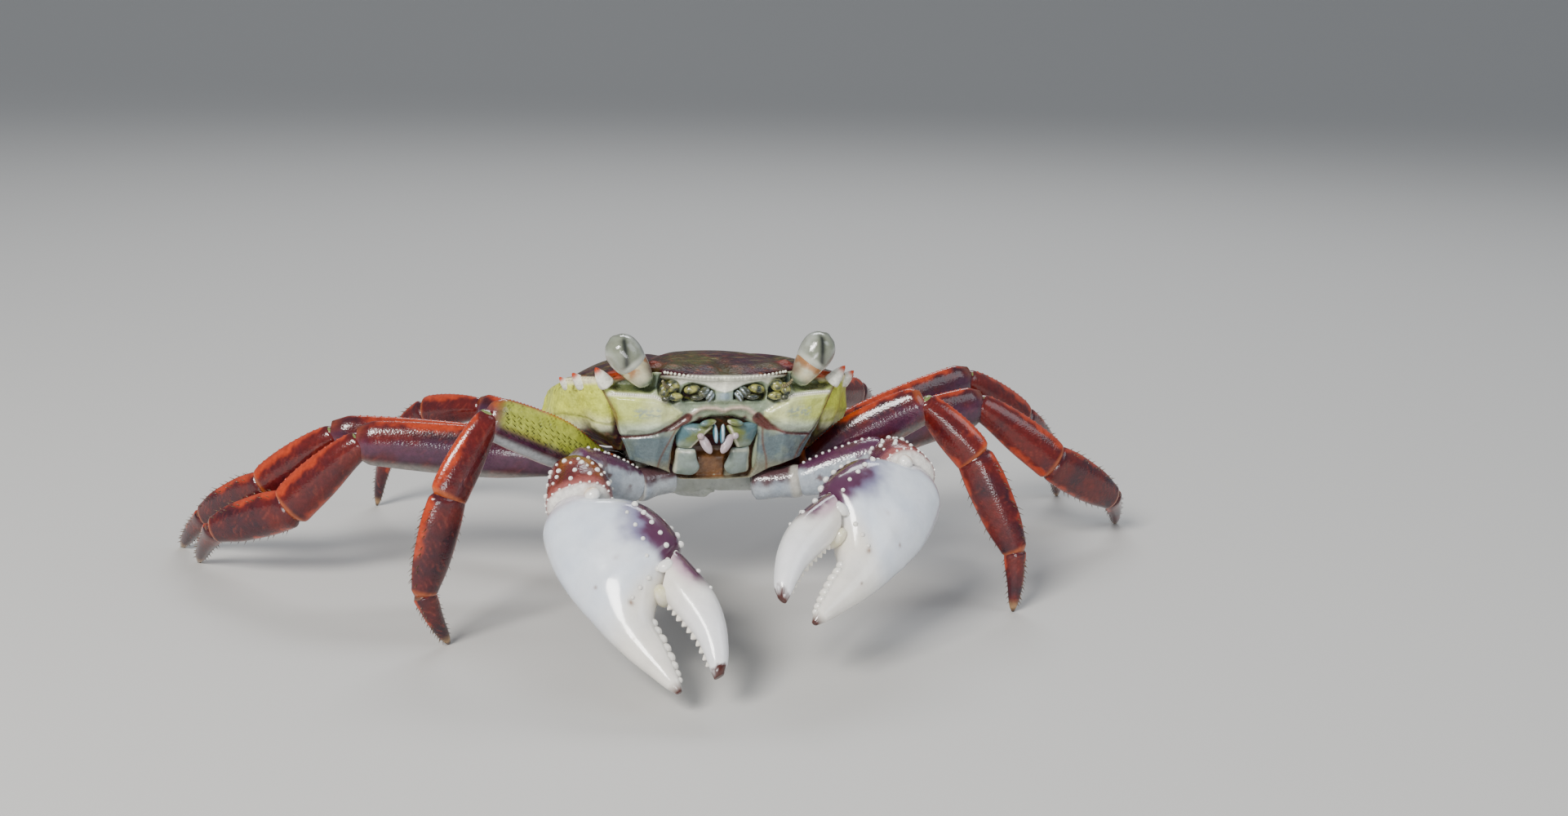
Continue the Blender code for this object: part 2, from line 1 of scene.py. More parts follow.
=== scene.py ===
"""A shore crab standing on a pale floor, its body tipped nose-up and its claws lowered in front of it.

It is 50 mm across the back and faces -Y. Shapes are made in millimetres. Those of the body are in the
crab's own frame: x to its left, y to its tail and z up, level when the crab isn't tipped.
"""

import math

import bmesh
import bpy
import numpy as np
from mathutils import Matrix, Vector, noise


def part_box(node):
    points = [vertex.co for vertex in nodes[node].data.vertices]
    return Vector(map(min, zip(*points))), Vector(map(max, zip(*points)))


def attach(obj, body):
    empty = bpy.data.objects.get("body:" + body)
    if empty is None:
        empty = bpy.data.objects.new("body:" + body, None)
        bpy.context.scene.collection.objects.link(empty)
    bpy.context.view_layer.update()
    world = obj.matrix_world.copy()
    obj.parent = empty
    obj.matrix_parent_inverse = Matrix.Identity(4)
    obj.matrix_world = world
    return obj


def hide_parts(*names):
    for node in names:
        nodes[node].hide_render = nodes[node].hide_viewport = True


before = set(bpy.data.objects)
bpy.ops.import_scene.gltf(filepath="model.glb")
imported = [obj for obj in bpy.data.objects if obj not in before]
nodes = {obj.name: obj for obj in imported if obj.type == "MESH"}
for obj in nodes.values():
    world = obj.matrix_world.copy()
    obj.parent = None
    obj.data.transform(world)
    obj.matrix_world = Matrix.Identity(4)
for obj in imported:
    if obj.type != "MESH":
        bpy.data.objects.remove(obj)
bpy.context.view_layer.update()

# ---- The pose of the body ----
# The body stands clear of the ground, tipped nose-up and leaning a little to its left. Its place is found
# from the two eyes, whose middle lies ahead of and above the body's own origin.
MM = 0.001
NOSE_UP = 13.0
LEAN = 1.5
EYES_MIDDLE = Vector((0, -20.4, 7.8))

tipped = Matrix.Rotation(math.radians(-NOSE_UP), 4, "X") @ Matrix.Rotation(math.radians(LEAN), 4, "Y")
eye_corners = [corner for name in ("eye_r", "eye_l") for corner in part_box(name)]
eyes_middle = sum(eye_corners, Vector()) / 4 / MM
body_origin = eyes_middle - tipped @ EYES_MIDDLE
BODY = Matrix.Translation(body_origin) @ tipped

# ---- Camera ----
# A normal lens a quarter of a metre off, a little to the crab's right and just above it.
AZIMUTH, ELEVATION, DISTANCE = -12.2, 14.0, 276.0
PAN, ROLL = -3.07, 1.4


def backwards(azimuth, elevation):
    """The direction from the crab to something at these angles."""
    turn, lift = math.radians(azimuth), math.radians(elevation)
    return Vector((math.sin(turn) * math.cos(lift), -math.cos(turn) * math.cos(lift), math.sin(lift)))


camera_data = bpy.data.cameras.new("camera")
camera_data.lens = 38.0
camera_data.sensor_width = 36.0
camera_data.clip_start = 0.01
camera = bpy.data.objects.new("camera", camera_data)
bpy.context.scene.collection.objects.link(camera)
looking = backwards(AZIMUTH + PAN, ELEVATION)
camera.rotation_euler = (
    looking.to_track_quat("Z", "Y").to_matrix() @ Matrix.Rotation(math.radians(ROLL), 3, "Z")
).to_euler()
camera.location = (body_origin + backwards(AZIMUTH, ELEVATION) * DISTANCE) * MM
bpy.context.scene.camera = camera

# ---- Floor and light ----
# A plain pale painted floor that sweeps up far behind, under a soft sky. A soft light stands at the
# crab's right front, a weaker one at its left, a low one ahead and a narrow one behind. The wet shell
# shows them all.
FLOOR_REACH = 4.0
FLAT_REACH = 1.2
SWEEP_RADIUS = 2.0
SWEEP_TURN = 80.0
FLOOR_GREY = (0.60, 0.59, 0.57, 1.0)
SKY_WHITE = (0.80, 0.86, 0.95, 1.0)


def set_inputs(node, values):
    """Sets a material node's inputs by their names."""
    for name, value in values.items():
        node.inputs[name].default_value = value


floor_bm = bmesh.new()
bmesh.ops.create_grid(floor_bm, x_segments=1, y_segments=48, size=FLOOR_REACH)
for vert in floor_bm.verts:
    behind = vert.co.y - FLAT_REACH
    if behind > 0:
        turn = behind / (FLOOR_REACH - FLAT_REACH) * math.radians(SWEEP_TURN)
        vert.co.y = FLAT_REACH + SWEEP_RADIUS * math.sin(turn)
        vert.co.z = SWEEP_RADIUS * (1 - math.cos(turn))
floor_mesh = bpy.data.meshes.new("floor")
floor_bm.to_mesh(floor_mesh)
floor_bm.free()
floor = bpy.data.objects.new("floor", floor_mesh)
bpy.context.scene.collection.objects.link(floor)
floor_paint = bpy.data.materials.new("floor_paint")
floor_paint.use_nodes = True
set_inputs(floor_paint.node_tree.nodes["Principled BSDF"], {"Base Color": FLOOR_GREY, "Roughness": 0.75})
floor_mesh.materials.append(floor_paint)
floor_mesh.shade_smooth()

sky = bpy.data.worlds.new("studio_sky")
sky.use_nodes = True
set_inputs(sky.node_tree.nodes["Background"], {"Color": SKY_WHITE, "Strength": 0.36})
bpy.context.scene.world = sky


def softbox(name, azimuth, elevation, distance, size, watts, colour):
    """A soft light aimed at the body. Distance and size are in metres."""
    data = bpy.data.lights.new(name, "AREA")
    data.shape = "RECTANGLE"
    data.size, data.size_y = size
    data.energy = watts
    data.color = colour
    lamp = bpy.data.objects.new(name, data)
    bpy.context.scene.collection.objects.link(lamp)
    away = backwards(azimuth, elevation)
    lamp.location = body_origin * MM + away * distance
    lamp.rotation_euler = away.to_track_quat("Z", "Y").to_euler()


softbox("key_light", -42, 37, 0.75, (0.26, 0.20), 7.0, (1.0, 0.97, 0.92))
softbox("fill_light", 55, 35, 0.9, (0.5, 0.4), 1.5, (0.86, 0.93, 1.0))
softbox("front_light", -8, 4, 0.8, (0.30, 0.10), 1.2, (1.0, 1.0, 1.0))
softbox("rim_light", 160, 50, 0.8, (0.5, 0.16), 2.2, (0.95, 0.97, 1.0))

# ---- Carapace ----
# One moulded shell: a flat-topped back with a sharp toothed margin, and swollen yellow-green flanks
# under it. The back is dark maroon with olive mottling and fine pale cross-lines, and wet.
MAROON = (0.022, 0.004, 0.006)
RED_BROWN = (0.095, 0.012, 0.008)
OLIVE = (0.055, 0.050, 0.010)
WHITE_EDGE = (0.80, 0.80, 0.66)
PALE_LINE = (0.21, 0.20, 0.060)
YELLOW_GREEN = (0.60, 0.64, 0.06)
CREAM = (0.72, 0.70, 0.46)
BLUE_GREY = (0.36, 0.43, 0.44)
PLUM = (0.045, 0.010, 0.030)
LOBE_RED = (0.26, 0.035, 0.016)
RUST_SPECK = (0.17, 0.05, 0.02)
CORNER_RED = (0.36, 0.045, 0.012)
RIM_RED = (0.24, 0.035, 0.016)
LEAF_GREEN = (0.50, 0.58, 0.16)
BROWN_SPECK = (0.16, 0.13, 0.03)
SEAM_RUST = (0.30, 0.12, 0.04)
ARC_GREEN = (0.26, 0.30, 0.03)
REAR_BROWN = (0.12, 0.10, 0.05)
REAR_RED = (0.10, 0.02, 0.03)
RIM_CREAM = (0.72, 0.66, 0.48)
ORBIT_RED = (0.44, 0.050, 0.012)
TOOTH_WHITE = (0.86, 0.85, 0.74)
TOOTH_TIP = (0.46, 0.05, 0.012)
BEAD_TAN = (0.70, 0.62, 0.42)
FRONT_Y, REAR_Y, HALF_WIDTH = -22.0, 21.6, 24.6
DOME_Z, DOME_BEND = 9.2, 2.6
# The margin, from the middle of the front edge round the crab's left side to the middle of the rear.
OUTLINE = [
    Vector(point) for point in (
        (0.0, FRONT_Y, 4.8), (5.0, -21.8, 5.05), (9.6, -21.0, 5.75), (10.6, -19.4, 5.9), (13.6, -18.0, 5.9),
        (16.6, -17.5, 5.4), (18.8, -18.4, 5.0), (19.4, -15.6, 4.9), (21.7, -13.7, 5.0), (21.3, -10.9, 4.7),
        (23.3, -9.0, 4.6), (23.2, -6.2, 4.3), (24.2, -2.0, 3.4), (HALF_WIDTH, 2.5, 2.8), (23.9, 7.5, 2.4),
        (21.6, 12.6, 2.2), (18.0, 17.2, 2.4), (14.2, 20.4, 2.8), (8.0, REAR_Y, 3.0), (0.0, REAR_Y, 3.0),
    )
]
PLACES = len(OUTLINE) - 1
# The red-tipped teeth of the margin, on the crab's left: root, tip, half width at the root.
EDGE_TEETH = (
    ((17.8, -17.4, 3.7), (19.9, -19.0, 6.5), 1.45),
    ((20.8, -12.6, 3.7), (22.8, -14.3, 5.7), 1.25),
    ((22.6, -8.2, 3.5), (24.2, -9.6, 5.1), 0.95),
)
# A tooth's half width along it, as shares of its length and of its width.
TOOTH_TAPER = ((0.0, 1.0), (0.55, 0.62), (1.0, 0.12))
FRONT_BEADS = 16
MARGIN_BEADS = 30
# The faint arc along each flank: y, z.
FLANK_ARC = ((-17.0, -2.8), (-12.5, -1.4), (-7.0, -0.7), (-1.0, -1.3), (4.0, -2.6))
# How much of the way below the margin is flank. The rest is the foot plate.
FLANK_SHARE = 0.86
# Walls below the margin, at places along the outline: rim height, and (share of the way down, inset).
WALLS = (
    (0.0, -6.0, ((0.05, 0.3), (0.12, 3.2), (0.6, 4.6), (1.0, 8.0))),
    (5.4, -6.0, ((0.05, 0.2), (0.12, 3.0), (0.6, 4.0), (1.0, 6.0))),
    (6.3, -6.5, ((0.15, 0.5), (0.40, 1.2), (0.6, 1.9), (1.0, 5.0))),
    (7.5, -6.3, ((0.15, -0.1), (0.45, 0.5), (0.65, 1.3), (1.0, 5.0))),
    (9.0, -6.0, ((0.15, -0.2), (0.45, 0.6), (0.72, 2.2), (1.0, 6.0))),
    (12.0, -5.6, ((0.15, -0.5), (0.45, -1.0), (0.72, -0.1), (1.0, 4.0))),
    (14.0, -5.5, ((0.15, -0.5), (0.45, -1.1), (0.72, -0.3), (1.0, 4.0))),
    (17.0, -3.0, ((0.20, 0.0), (0.50, 0.1), (0.80, 0.5), (1.0, 2.0))),
    (19.0, -3.0, ((0.20, 0.0), (0.50, 0.1), (0.80, 0.5), (1.0, 2.0))),
)


def smooth_between(a, b, c, d, share):
    """A point some share of the way from b to c, on a smooth curve through all four."""
    curve = 2 * b + (c - a) * share
    curve += (2 * a - 5 * b + 4 * c - d) * share ** 2
    curve += (3 * b - a - 3 * c + d) * share ** 3
    return 0.5 * curve


def curve_through(points, place):
    """A smooth curve through the points, mirrored in the mid-line. Place counts the points along it."""
    last = len(points) - 1
    low = min(int(place), last - 1)
    share = place - low

    def near(index):
        if index < 0:
            return Vector((-points[-index].x, points[-index].y, points[-index].z))
        if index > last:
            mirrored = points[2 * last - index]
            return Vector((-mirrored.x, mirrored.y, mirrored.z))
        return points[index]

    return smooth_between(near(low - 1), near(low), near(low + 1), near(low + 2), share)


def ease(low, high, value):
    """0 at low, 1 at high, and smooth between. High may be the smaller."""
    share = min(1.0, max(0.0, (value - low) / (high - low)))
    return share * share * (3 - 2 * share)


def mix(low, high, share):
    return low + (high - low) * share


def wall_at(place):
    """The wall's rim height and rings at a place along the outline, eased between its neighbours."""
    for (low, low_rim, low_rings), (high, high_rim, high_rings) in zip(WALLS, WALLS[1:]):
        if low <= place <= high:
            share = ease(low, high, place)
            rings = [
                (mix(down_a, down_b, share), mix(inset_a, inset_b, share))
                for (down_a, inset_a), (down_b, inset_b) in zip(low_rings, high_rings)
            ]
            return mix(low_rim, high_rim, share), rings
    raise ValueError(place)


def follow(stations, share):
    """The second number at a share, eased along stations of (share, number)."""
    for (low, value), (high, after) in zip(stations, stations[1:]):
        if share <= high:
            bend = (share - low) / (high - low)
            return mix(value, after, bend * bend * (3 - 2 * bend) * 0.5 + bend * 0.5)
    return stations[-1][1]


def gauss(value, width):
    """A soft bump, 1 where the value is 0."""
    return math.exp(-(value / width) ** 2)


def back_relief(x, y, share):
    """Height added to the back: lobes behind the front edge, grooves round the stomach, a thickened rim."""
    x = abs(x)
    front_lobes = gauss(x - 2.6, 1.7) + gauss(x - 7.2, 1.7) + 0.6 * gauss(x - 12.5, 2.0)
    height = 0.32 * gauss(y + 18.6, 1.5) * front_lobes
    height += 0.75 * gauss(x - 10.7, 1.3) * gauss(y + 16.9, 1.2)
    height -= 0.30 * gauss(x, 0.9) * ease(-21.5, -19.5, y) * ease(-12, -16, y)
    height -= 0.50 * gauss(x - mix(10.5, 6.5, ease(-13, -1, y)), 1.5) * ease(-15, -12, y) * ease(5, 1, y)
    height -= 0.42 * gauss(y + 1.5 + 0.05 * x * x, 1.2) * ease(8, 6, x)
    height -= 0.36 * gauss(x - mix(5.5, 8.5, ease(2, 14, y)), 1.4) * ease(0, 3, y) * ease(17, 13, y)
    height -= 0.35 * gauss(y - 18.4, 0.6) * ease(16, 12, x)
    height += 0.40 * gauss(x - 15.5, 4.0) * gauss(y - 1.0, 9.0) + 0.25 * gauss(x, 4.0) * gauss(y + 8.0, 5.0)
    height += 0.22 * gauss(share - 0.985, 0.014)
    return height * ease(1.0, 0.97, share) + 0.12 * gauss(share - 0.985, 0.012)


def margin_out(point):
    """The level direction out of the margin."""
    return Vector(((point.x / HALF_WIDTH) ** 3, (point.y / REAR_Y) ** 3, 0)).normalized()


def carapace_point(turn, depth):
    """The shell's skin: the domed back down to the margin, then the flank to its rim and the foot plate."""
    side = 1 if turn <= 0.5 else -1
    place = (turn if side > 0 else 1 - turn) * 2 * PLACES
    margin = curve_through(OUTLINE, place)
    plain = (
        curve_through(OUTLINE, max(0.0, place - 1.0)) + 2 * margin
        + curve_through(OUTLINE, min(float(PLACES), place + 1.0))
    ) / 4 if 3 < place < 13 else margin
    if depth <= 0.5:
        share = (depth * 2) ** 0.82
        edge = plain.lerp(margin, ease(0.9, 1.0, share))
        height = edge.z + (DOME_Z - edge.z) * (1 - share ** DOME_BEND)
        point = Vector((edge.x * share, edge.y * share, height))
        point.z += back_relief(point.x, point.y, share)
    else:
        rim, rings = wall_at(place)
        down = (depth - 0.5) * 2
        edge = margin.lerp(plain, ease(0.0, 0.12, down))
        if down <= FLANK_SHARE:
            share = down / FLANK_SHARE
            inset = follow([(0.0, 0.0), *rings], share)
            point = edge - margin_out(plain) * inset
            point.z = edge.z - share * (edge.z - rim)
        else:
            shrink = 1 - (down - FLANK_SHARE) / (1 - FLANK_SHARE)
            foot = plain - margin_out(plain) * rings[-1][1]
            point = Vector((foot.x * shrink, foot.y * shrink, rim + 0.2 * (1 - shrink)))
    point.x *= side
    return point


def paint(bm, verts, colour):
    """Gives the vertices the shell's own colour where they are."""
    tint = bm.verts.layers.float_color.get("Tint")
    for vert in verts:
        vert[tint] = (*colour(*vert.co), 1.0)


def new_skin():
    """An empty bmesh whose points carry the shell's own tint."""
    bm = bmesh.new()
    bm.verts.layers.float_color.new("Tint")
    return bm


def grow_ball(bm, around, rings, shape, colour):
    """Adds a closed skin: an even ball, each point moved to shape(turn, depth), both from 0 to 1."""
    ball = bmesh.ops.create_uvsphere(bm, u_segments=around, v_segments=rings, radius=1.0)
    for vert in ball["verts"]:
        depth = round(math.acos(max(-1.0, min(1.0, vert.co.z))) / math.pi * rings) / rings
        turn = round(math.atan2(vert.co.y, vert.co.x) / math.tau * around) % around / around
        vert.co = shape(turn, depth)
    paint(bm, ball["verts"], colour)
    return ball["verts"]


def bead(bm, centre, radius, colour, detail=1):
    """Adds a small round bump of one colour."""
    ball = bmesh.ops.create_icosphere(
        bm, subdivisions=detail, radius=radius, matrix=Matrix.Translation(Vector(centre)),
    )
    paint(bm, ball["verts"], lambda x, y, z: colour)


def add_piece(name, bm, material, stands_for=(), place=None):
    """Turns a bmesh in millimetres into a smooth piece that rides on the crab."""
    if place is not None:
        bmesh.ops.transform(bm, matrix=place, verts=bm.verts)
    bmesh.ops.scale(bm, vec=(MM, MM, MM), verts=bm.verts)
    bmesh.ops.recalc_face_normals(bm, faces=bm.faces)
    mesh = bpy.data.meshes.new(name)
    bm.to_mesh(mesh)
    bm.free()
    mesh.shade_smooth()
    mesh.materials.append(material)
    piece = bpy.data.objects.new(name, mesh)
    bpy.context.scene.collection.objects.link(piece)
    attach(piece, "root")
    if stands_for:
        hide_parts(*stands_for)


def shell(
    name, roughness, coat, speckle, speckle_size, grain, grain_size, milky=0.0, shine=0.5, ridged=0.0,
):
    """Wet crab shell: the piece's own tint, broken up by fine speckles, with granules under a coat.

    Speckle and grain say how strong they are, their sizes are in millimetres, and ridged raises pale lines.
    """
    material = bpy.data.materials.new(name)
    material.use_nodes = True
    tree = material.node_tree
    join = tree.links.new
    shader = tree.nodes["Principled BSDF"]
    set_inputs(shader, {"Coat Weight": coat, "Coat Roughness": 0.08, "Specular IOR Level": shine})
    if milky:
        radius = (0.9, 0.8, 0.9)
        set_inputs(shader, {"Subsurface Weight": milky, "Subsurface Radius": radius})
        set_inputs(shader, {"Subsurface Scale": 0.0012})
    tint = tree.nodes.new("ShaderNodeAttribute")
    tint.attribute_name = "Tint"
    place = tree.nodes.new("ShaderNodeTexCoord")
    # Speckles, which lighten and darken the tint and vary the gloss.
    specks = tree.nodes.new("ShaderNodeTexNoise")
    set_inputs(specks, {"Scale": 1000.0 / speckle_size, "Detail": 5.0, "Roughness": 0.65})
    join(place.outputs["Object"], specks.inputs["Vector"])
    spread = tree.nodes.new("ShaderNodeMapRange")
    set_inputs(spread, {"From Min": 0.32, "From Max": 0.68})
    set_inputs(spread, {"To Min": 1.0 - speckle, "To Max": 1.0 + speckle})
    join(specks.outputs["Fac"], spread.inputs["Value"])
    shade = tree.nodes.new("ShaderNodeVectorMath")
    shade.operation = "SCALE"
    join(tint.outputs["Color"], shade.inputs[0])
    join(spread.outputs["Result"], shade.inputs["Scale"])
    join(shade.outputs["Vector"], shader.inputs["Base Color"])
    gloss = tree.nodes.new("ShaderNodeMapRange")
    set_inputs(gloss, {"To Min": roughness * 0.7, "To Max": roughness * 1.4})
    join(specks.outputs["Fac"], gloss.inputs["Value"])
    join(gloss.outputs["Result"], shader.inputs["Roughness"])
    # Fine granules, and the pale lines raised where asked for.
    granules = tree.nodes.new("ShaderNodeTexVoronoi")
    set_inputs(granules, {"Scale": 1000.0 / grain_size})
    join(place.outputs["Object"], granules.inputs["Vector"])
    bump = tree.nodes.new("ShaderNodeBump")
    set_inputs(bump, {"Strength": grain, "Distance": 0.0001})
    bump.invert = True
    join(granules.outputs["Distance"], bump.inputs["Height"])
    if ridged:
        ridges = tree.nodes.new("ShaderNodeBump")
        set_inputs(ridges, {"Strength": ridged, "Distance": 0.0005})
        join(tint.outputs["Color"], ridges.inputs["Height"])
        join(ridges.outputs["Normal"], bump.inputs["Normal"])
    join(bump.outputs["Normal"], shader.inputs["Normal"])
    join(bump.outputs["Normal"], shader.inputs["Coat Normal"])
    return material


def station_at(stations, x):
    """The stations' other numbers at x, on a smooth curve through them."""
    last = len(stations) - 1
    low = 0
    while low < last - 1 and stations[low + 1][0] < x:
        low += 1
    a, b = stations[low], stations[low + 1]
    before, after = stations[max(0, low - 1)], stations[min(last, low + 2)]
    width = b[0] - a[0]
    share = min(1.0, max(0.0, (x - a[0]) / width))
    values = []
    for k in range(1, len(a)):
        leave = (b[k] - before[k]) / (b[0] - before[0]) * width
        arrive = (after[k] - a[k]) / (after[0] - a[0]) * width
        values.append(
            a[k] * (2 * share ** 3 - 3 * share ** 2 + 1) + leave * (share ** 3 - 2 * share ** 2 + share)
            + b[k] * (3 * share ** 2 - 2 * share ** 3) + arrive * (share ** 3 - share ** 2)
        )
    return values


def power_curve(value, power):
    """Squares up a sine or cosine: a power of 2 keeps it round, and more makes it boxier."""
    return math.copysign(abs(value) ** (2 / power), value)


def limb_shape(stations, power_up, power_down, cap):
    """A shape for grow_ball: sections across x through the stations, rounded off within each end cap.

    A station is x, the lower and upper edge in y, and the half thickness in z.
    """
    first, last = stations[0][0], stations[-1][0]

    def shape(turn, depth):
        near_end = depth < 0.04 or depth > 0.96
        x = mix(first, last, 0.5 - 0.5 * math.cos(math.pi * depth) if near_end else depth)
        low, high, thick = station_at(stations, x)
        closing = min(1.0, depth / cap, (1 - depth) / cap)
        closing = math.sqrt(max(0.0, 1 - (1 - closing) ** 2))
        across, up = math.cos(turn * math.tau), math.sin(turn * math.tau)
        power = power_up if up > 0 else power_down
        y = (low + high) / 2 + (high - low) / 2 * power_curve(up, power) * closing
        return Vector((x, y, thick * power_curve(across, power) * closing))

    return shape


def frame_matrix(origin, along, up, out):
    matrix = Matrix((along, up, out)).transposed().to_4x4()
    matrix.translation = origin
    return matrix


def span_matrix(start, end, upright):
    """A frame from one joint to the next: x along the limb, y upright, z to its side."""
    along = (end - start).normalized()
    up = (upright - upright.dot(along) * along).normalized()
    return frame_matrix(start, along, up, along.cross(up))


def blot(x, y, z, size, seed=0.0):
    """Cloudy noise from 0 to 1, in blots of about this size."""
    return 0.5 + 0.5 * noise.fractal(Vector((x / size + seed, y / size, z / size - seed)), 1.0, 2.0, 3)


def blend(low, high, share):
    share = min(1.0, max(0.0, share))
    return tuple(a + (b - a) * share for a, b in zip(low, high))


def coats(base, *layers):
    """The base colour with each layer's colour laid over it by its share."""
    for colour, share in layers:
        base = blend(base, colour, share)
    return base


def from_line(points, x, z):
    """The distance from a line through flat points."""
    nearest = 1e9
    for (ax, az), (bx, bz) in zip(points, points[1:]):
        run, rise = bx - ax, bz - az
        share = min(1.0, max(0.0, ((x - ax) * run + (z - az) * rise) / (run * run + rise * rise)))
        nearest = min(nearest, (x - ax - share * run) ** 2 + (z - az - share * rise) ** 2)
    return math.sqrt(nearest)


def back_colour(x, y, z, share):
    """Maroon clouded with red-brown and olive, crossed by pale lines, with red at the corners and rim."""
    side = abs(x)
    broken = ease(0.38, 0.60, blot(x * 0.45, y, z, 1.5, 11.0))
    sway = 1.6 * (blot(x, y, z, 5.0, 3.0) - 0.5)
    slant = (y * 0.88 - side * 0.47 + sway) * 0.66
    stripe = gauss(slant % 1.0 - 0.5, 0.12) * broken * ease(10, 13.5, side)
    stripe *= ease(-16, -12, y) * ease(1.0, 0.93, share)
    cross = gauss((y + 0.6 * sway + 0.02 * x * x) * 0.55 % 1.0 - 0.5, 0.09) * broken * ease(10.5, 7.5, side)
    cross *= ease(-18, -15, y) * ease(20, 17, y)
    specks = ease(0.66, 0.74, blot(x, y, z, 0.7, 19.0))
    return coats(
        blend(MAROON, RED_BROWN, 1.8 * blot(x, y, z, 2.6) - 0.9),
        (PLUM, 1.5 * blot(x, y, z, 7.0, 15.0) - 0.5),
        (OLIVE, 2.6 * blot(x, y, z, 5.0, 7.0) - 1.35),
        (OLIVE, 0.8 * gauss(x, 2.0) * ease(-14, -20, y)),
        (LOBE_RED, 0.8 * gauss(side - 10.7, 1.5) * gauss(y + 17.2, 1.4)),
        (PALE_LINE, 0.85 * max(stripe, 0.75 * cross)),
        (RUST_SPECK, 0.6 * specks),
        (CORNER_RED, 0.85 * gauss(side - 16.6, 1.9) * ease(-15.2, -16.8, y)),
        (RIM_RED, 0.6 * ease(0.955, 0.99, share) * ease(9.5, 11.0, side)),
    )


def flank_colour(x, y, z):
    """Yellow-green above, greyer below, dark to the rear, with an orange-red corner at the eye."""
    down = ease(3.6, -6.5, z)
    low = blend(CREAM, BLUE_GREY, ease(-1.5, -5.5, z))
    specks = ease(0.60, 0.72, blot(x, y, z, 0.8, 9.0))
    rear = blend(REAR_BROWN, REAR_RED, blot(x, y, z, 3.0))
    corner = gauss(abs(x) - 16.2, 1.9) * ease(-14.8, -16.2, y) * ease(4.2, 4.8, z)
    return coats(
        blend(YELLOW_GREEN, low, ease(0.5, -3.5, z + 1.5 * (blot(x, y, z, 4.0) - 0.5))),
        (LEAF_GREEN, 0.6 * blot(x, y, z, 5.0, 2.0) * (1 - down)),
        (BROWN_SPECK, 0.85 * specks * ease(1.5, 4.0, z)),
        (SEAM_RUST, 0.5 * gauss(z + 3.4 + 0.4 * math.sin(y * 0.35), 0.22)),
        (ARC_GREEN, 0.55 * gauss(from_line(FLANK_ARC, y, z), 0.22)),
        (rear, 0.9 * ease(3.0, 15.0, y + 1.2 * z)),
        (RIM_CREAM, 0.8 * ease(3.6, 4.4, z) * ease(-6.5, -8, y)),
        (ORBIT_RED, 0.92 * corner),
        (WHITE_EDGE, ease(10.4, 9.4, abs(x)) * ease(-19, -20, y)),
    )


def carapace_colour(x, y, z):
    """The back's colour down to the margin, and the flank's below it."""
    edge_z = mix(5.1, 2.9, ease(-10, 12, y))
    across, back = abs(x) / HALF_WIDTH, abs(y) / (REAR_Y if y > 0 else -FRONT_Y)
    share = (across ** 2.9 + back ** 2.9) ** (1 / 2.9)
    on_flank = ease(edge_z + 0.15, edge_z - 0.25, z) * ease(0.85, 0.9, share)
    return blend(back_colour(x, y, z, share), flank_colour(x, y, z), on_flank)


def tooth(bm, root, tip, width, colour):
    """A tapering tooth, rooted in the shell. Its colour gets x from 0 at the root to 1 at the tip."""
    length = (tip - root).length
    stations = [(share, -part * width, part * width, part * width) for share, part in TOOTH_TAPER]
    made = grow_ball(bm, 16, 12, limb_shape(stations, 2, 2, 0.12), colour)
    level = abs((tip - root).z) < 0.9 * length
    place = span_matrix(root, tip, Vector((0, 0, 1)) if level else Vector((0, 1, 0)))
    for vert in made:
        vert.co = place @ Vector((vert.co.x * length, vert.co.y, vert.co.z))


def red_tipped(x, y, z):
    return blend(TOOTH_WHITE, TOOTH_TIP, ease(0.60, 0.92, x))


back_shell = shell("wet_carapace", 0.38, 0.06, 0.30, 1.1, 0.60, 0.42, shine=0.12, ridged=0.8)
carapace = new_skin()
grow_ball(carapace, 380, 150, carapace_point, carapace_colour)
for side in (-1, 1):
    # A fine saw of white beads along the front edge, then the teeth and a row of small beads on the side.
    for k in range(FRONT_BEADS):
        edge = curve_through(OUTLINE, (0.30 + 0.61 * k) / 9.8 * 2.05)
        forward = 0.08 + 0.16 * gauss(edge.x, 5.0)
        bead(carapace, (side * edge.x, edge.y - forward, edge.z - 0.10), 0.24 + 0.02 * (k % 2), WHITE_EDGE)
    for root, tip, width in EDGE_TEETH:
        root, tip = (Vector((side * x, y, z)) for x, y, z in (root, tip))
        tooth(carapace, root, tip, width, red_tipped)
    for k in range(MARGIN_BEADS):
        edge = curve_through(OUTLINE, 6.3 + 0.16 * k)
        bead(carapace, (side * (edge.x + 0.05), edge.y, edge.z - 0.05), 0.17, BEAD_TAN)
add_piece("carapace", carapace, back_shell, ["carapace"], BODY)

# ---- Face ----
# Under the front edge the shell turns in and down to the mouth frame. It is one moulding: a white lip,
# the two pits of the small feelers, the eye sockets with a leaf-shaped cheek plate below each, and the
# opening of the mouth.
WHITE_LIP = (0.93, 0.92, 0.76)
PIT_DARK = (0.020, 0.030, 0.030)
SOCKET_TEAL = (0.06, 0.10, 0.075)
CHEEK_CREAM = (0.62, 0.66, 0.30)
GREY_GREEN = (0.24, 0.30, 0.20)
SEAM_BROWN = (0.13, 0.045, 0.020)
FACE_GREEN = (0.34, 0.39, 0.26)
SLATE = (0.115, 0.160, 0.175)
FOOT_BROWN = (0.24, 0.22, 0.13)
SIDE_GREEN = (0.40, 0.46, 0.14)
LIP_SHADE = (0.56, 0.66, 0.60)
PIT_OLIVE = (0.22, 0.22, 0.05)
BEAK_BLUE = (0.27, 0.36, 0.41)
SOCKET_OLIVE = (0.20, 0.24, 0.08)
POST_DARK = (0.09, 0.13, 0.11)
CHEEK_GREEN = (0.56, 0.62, 0.14)
CHEEK_LOW = (0.52, 0.62, 0.52)
CHEEK_HAIR = (0.26, 0.34, 0.32)
RIM_WHITE = (0.93, 0.90, 0.78)
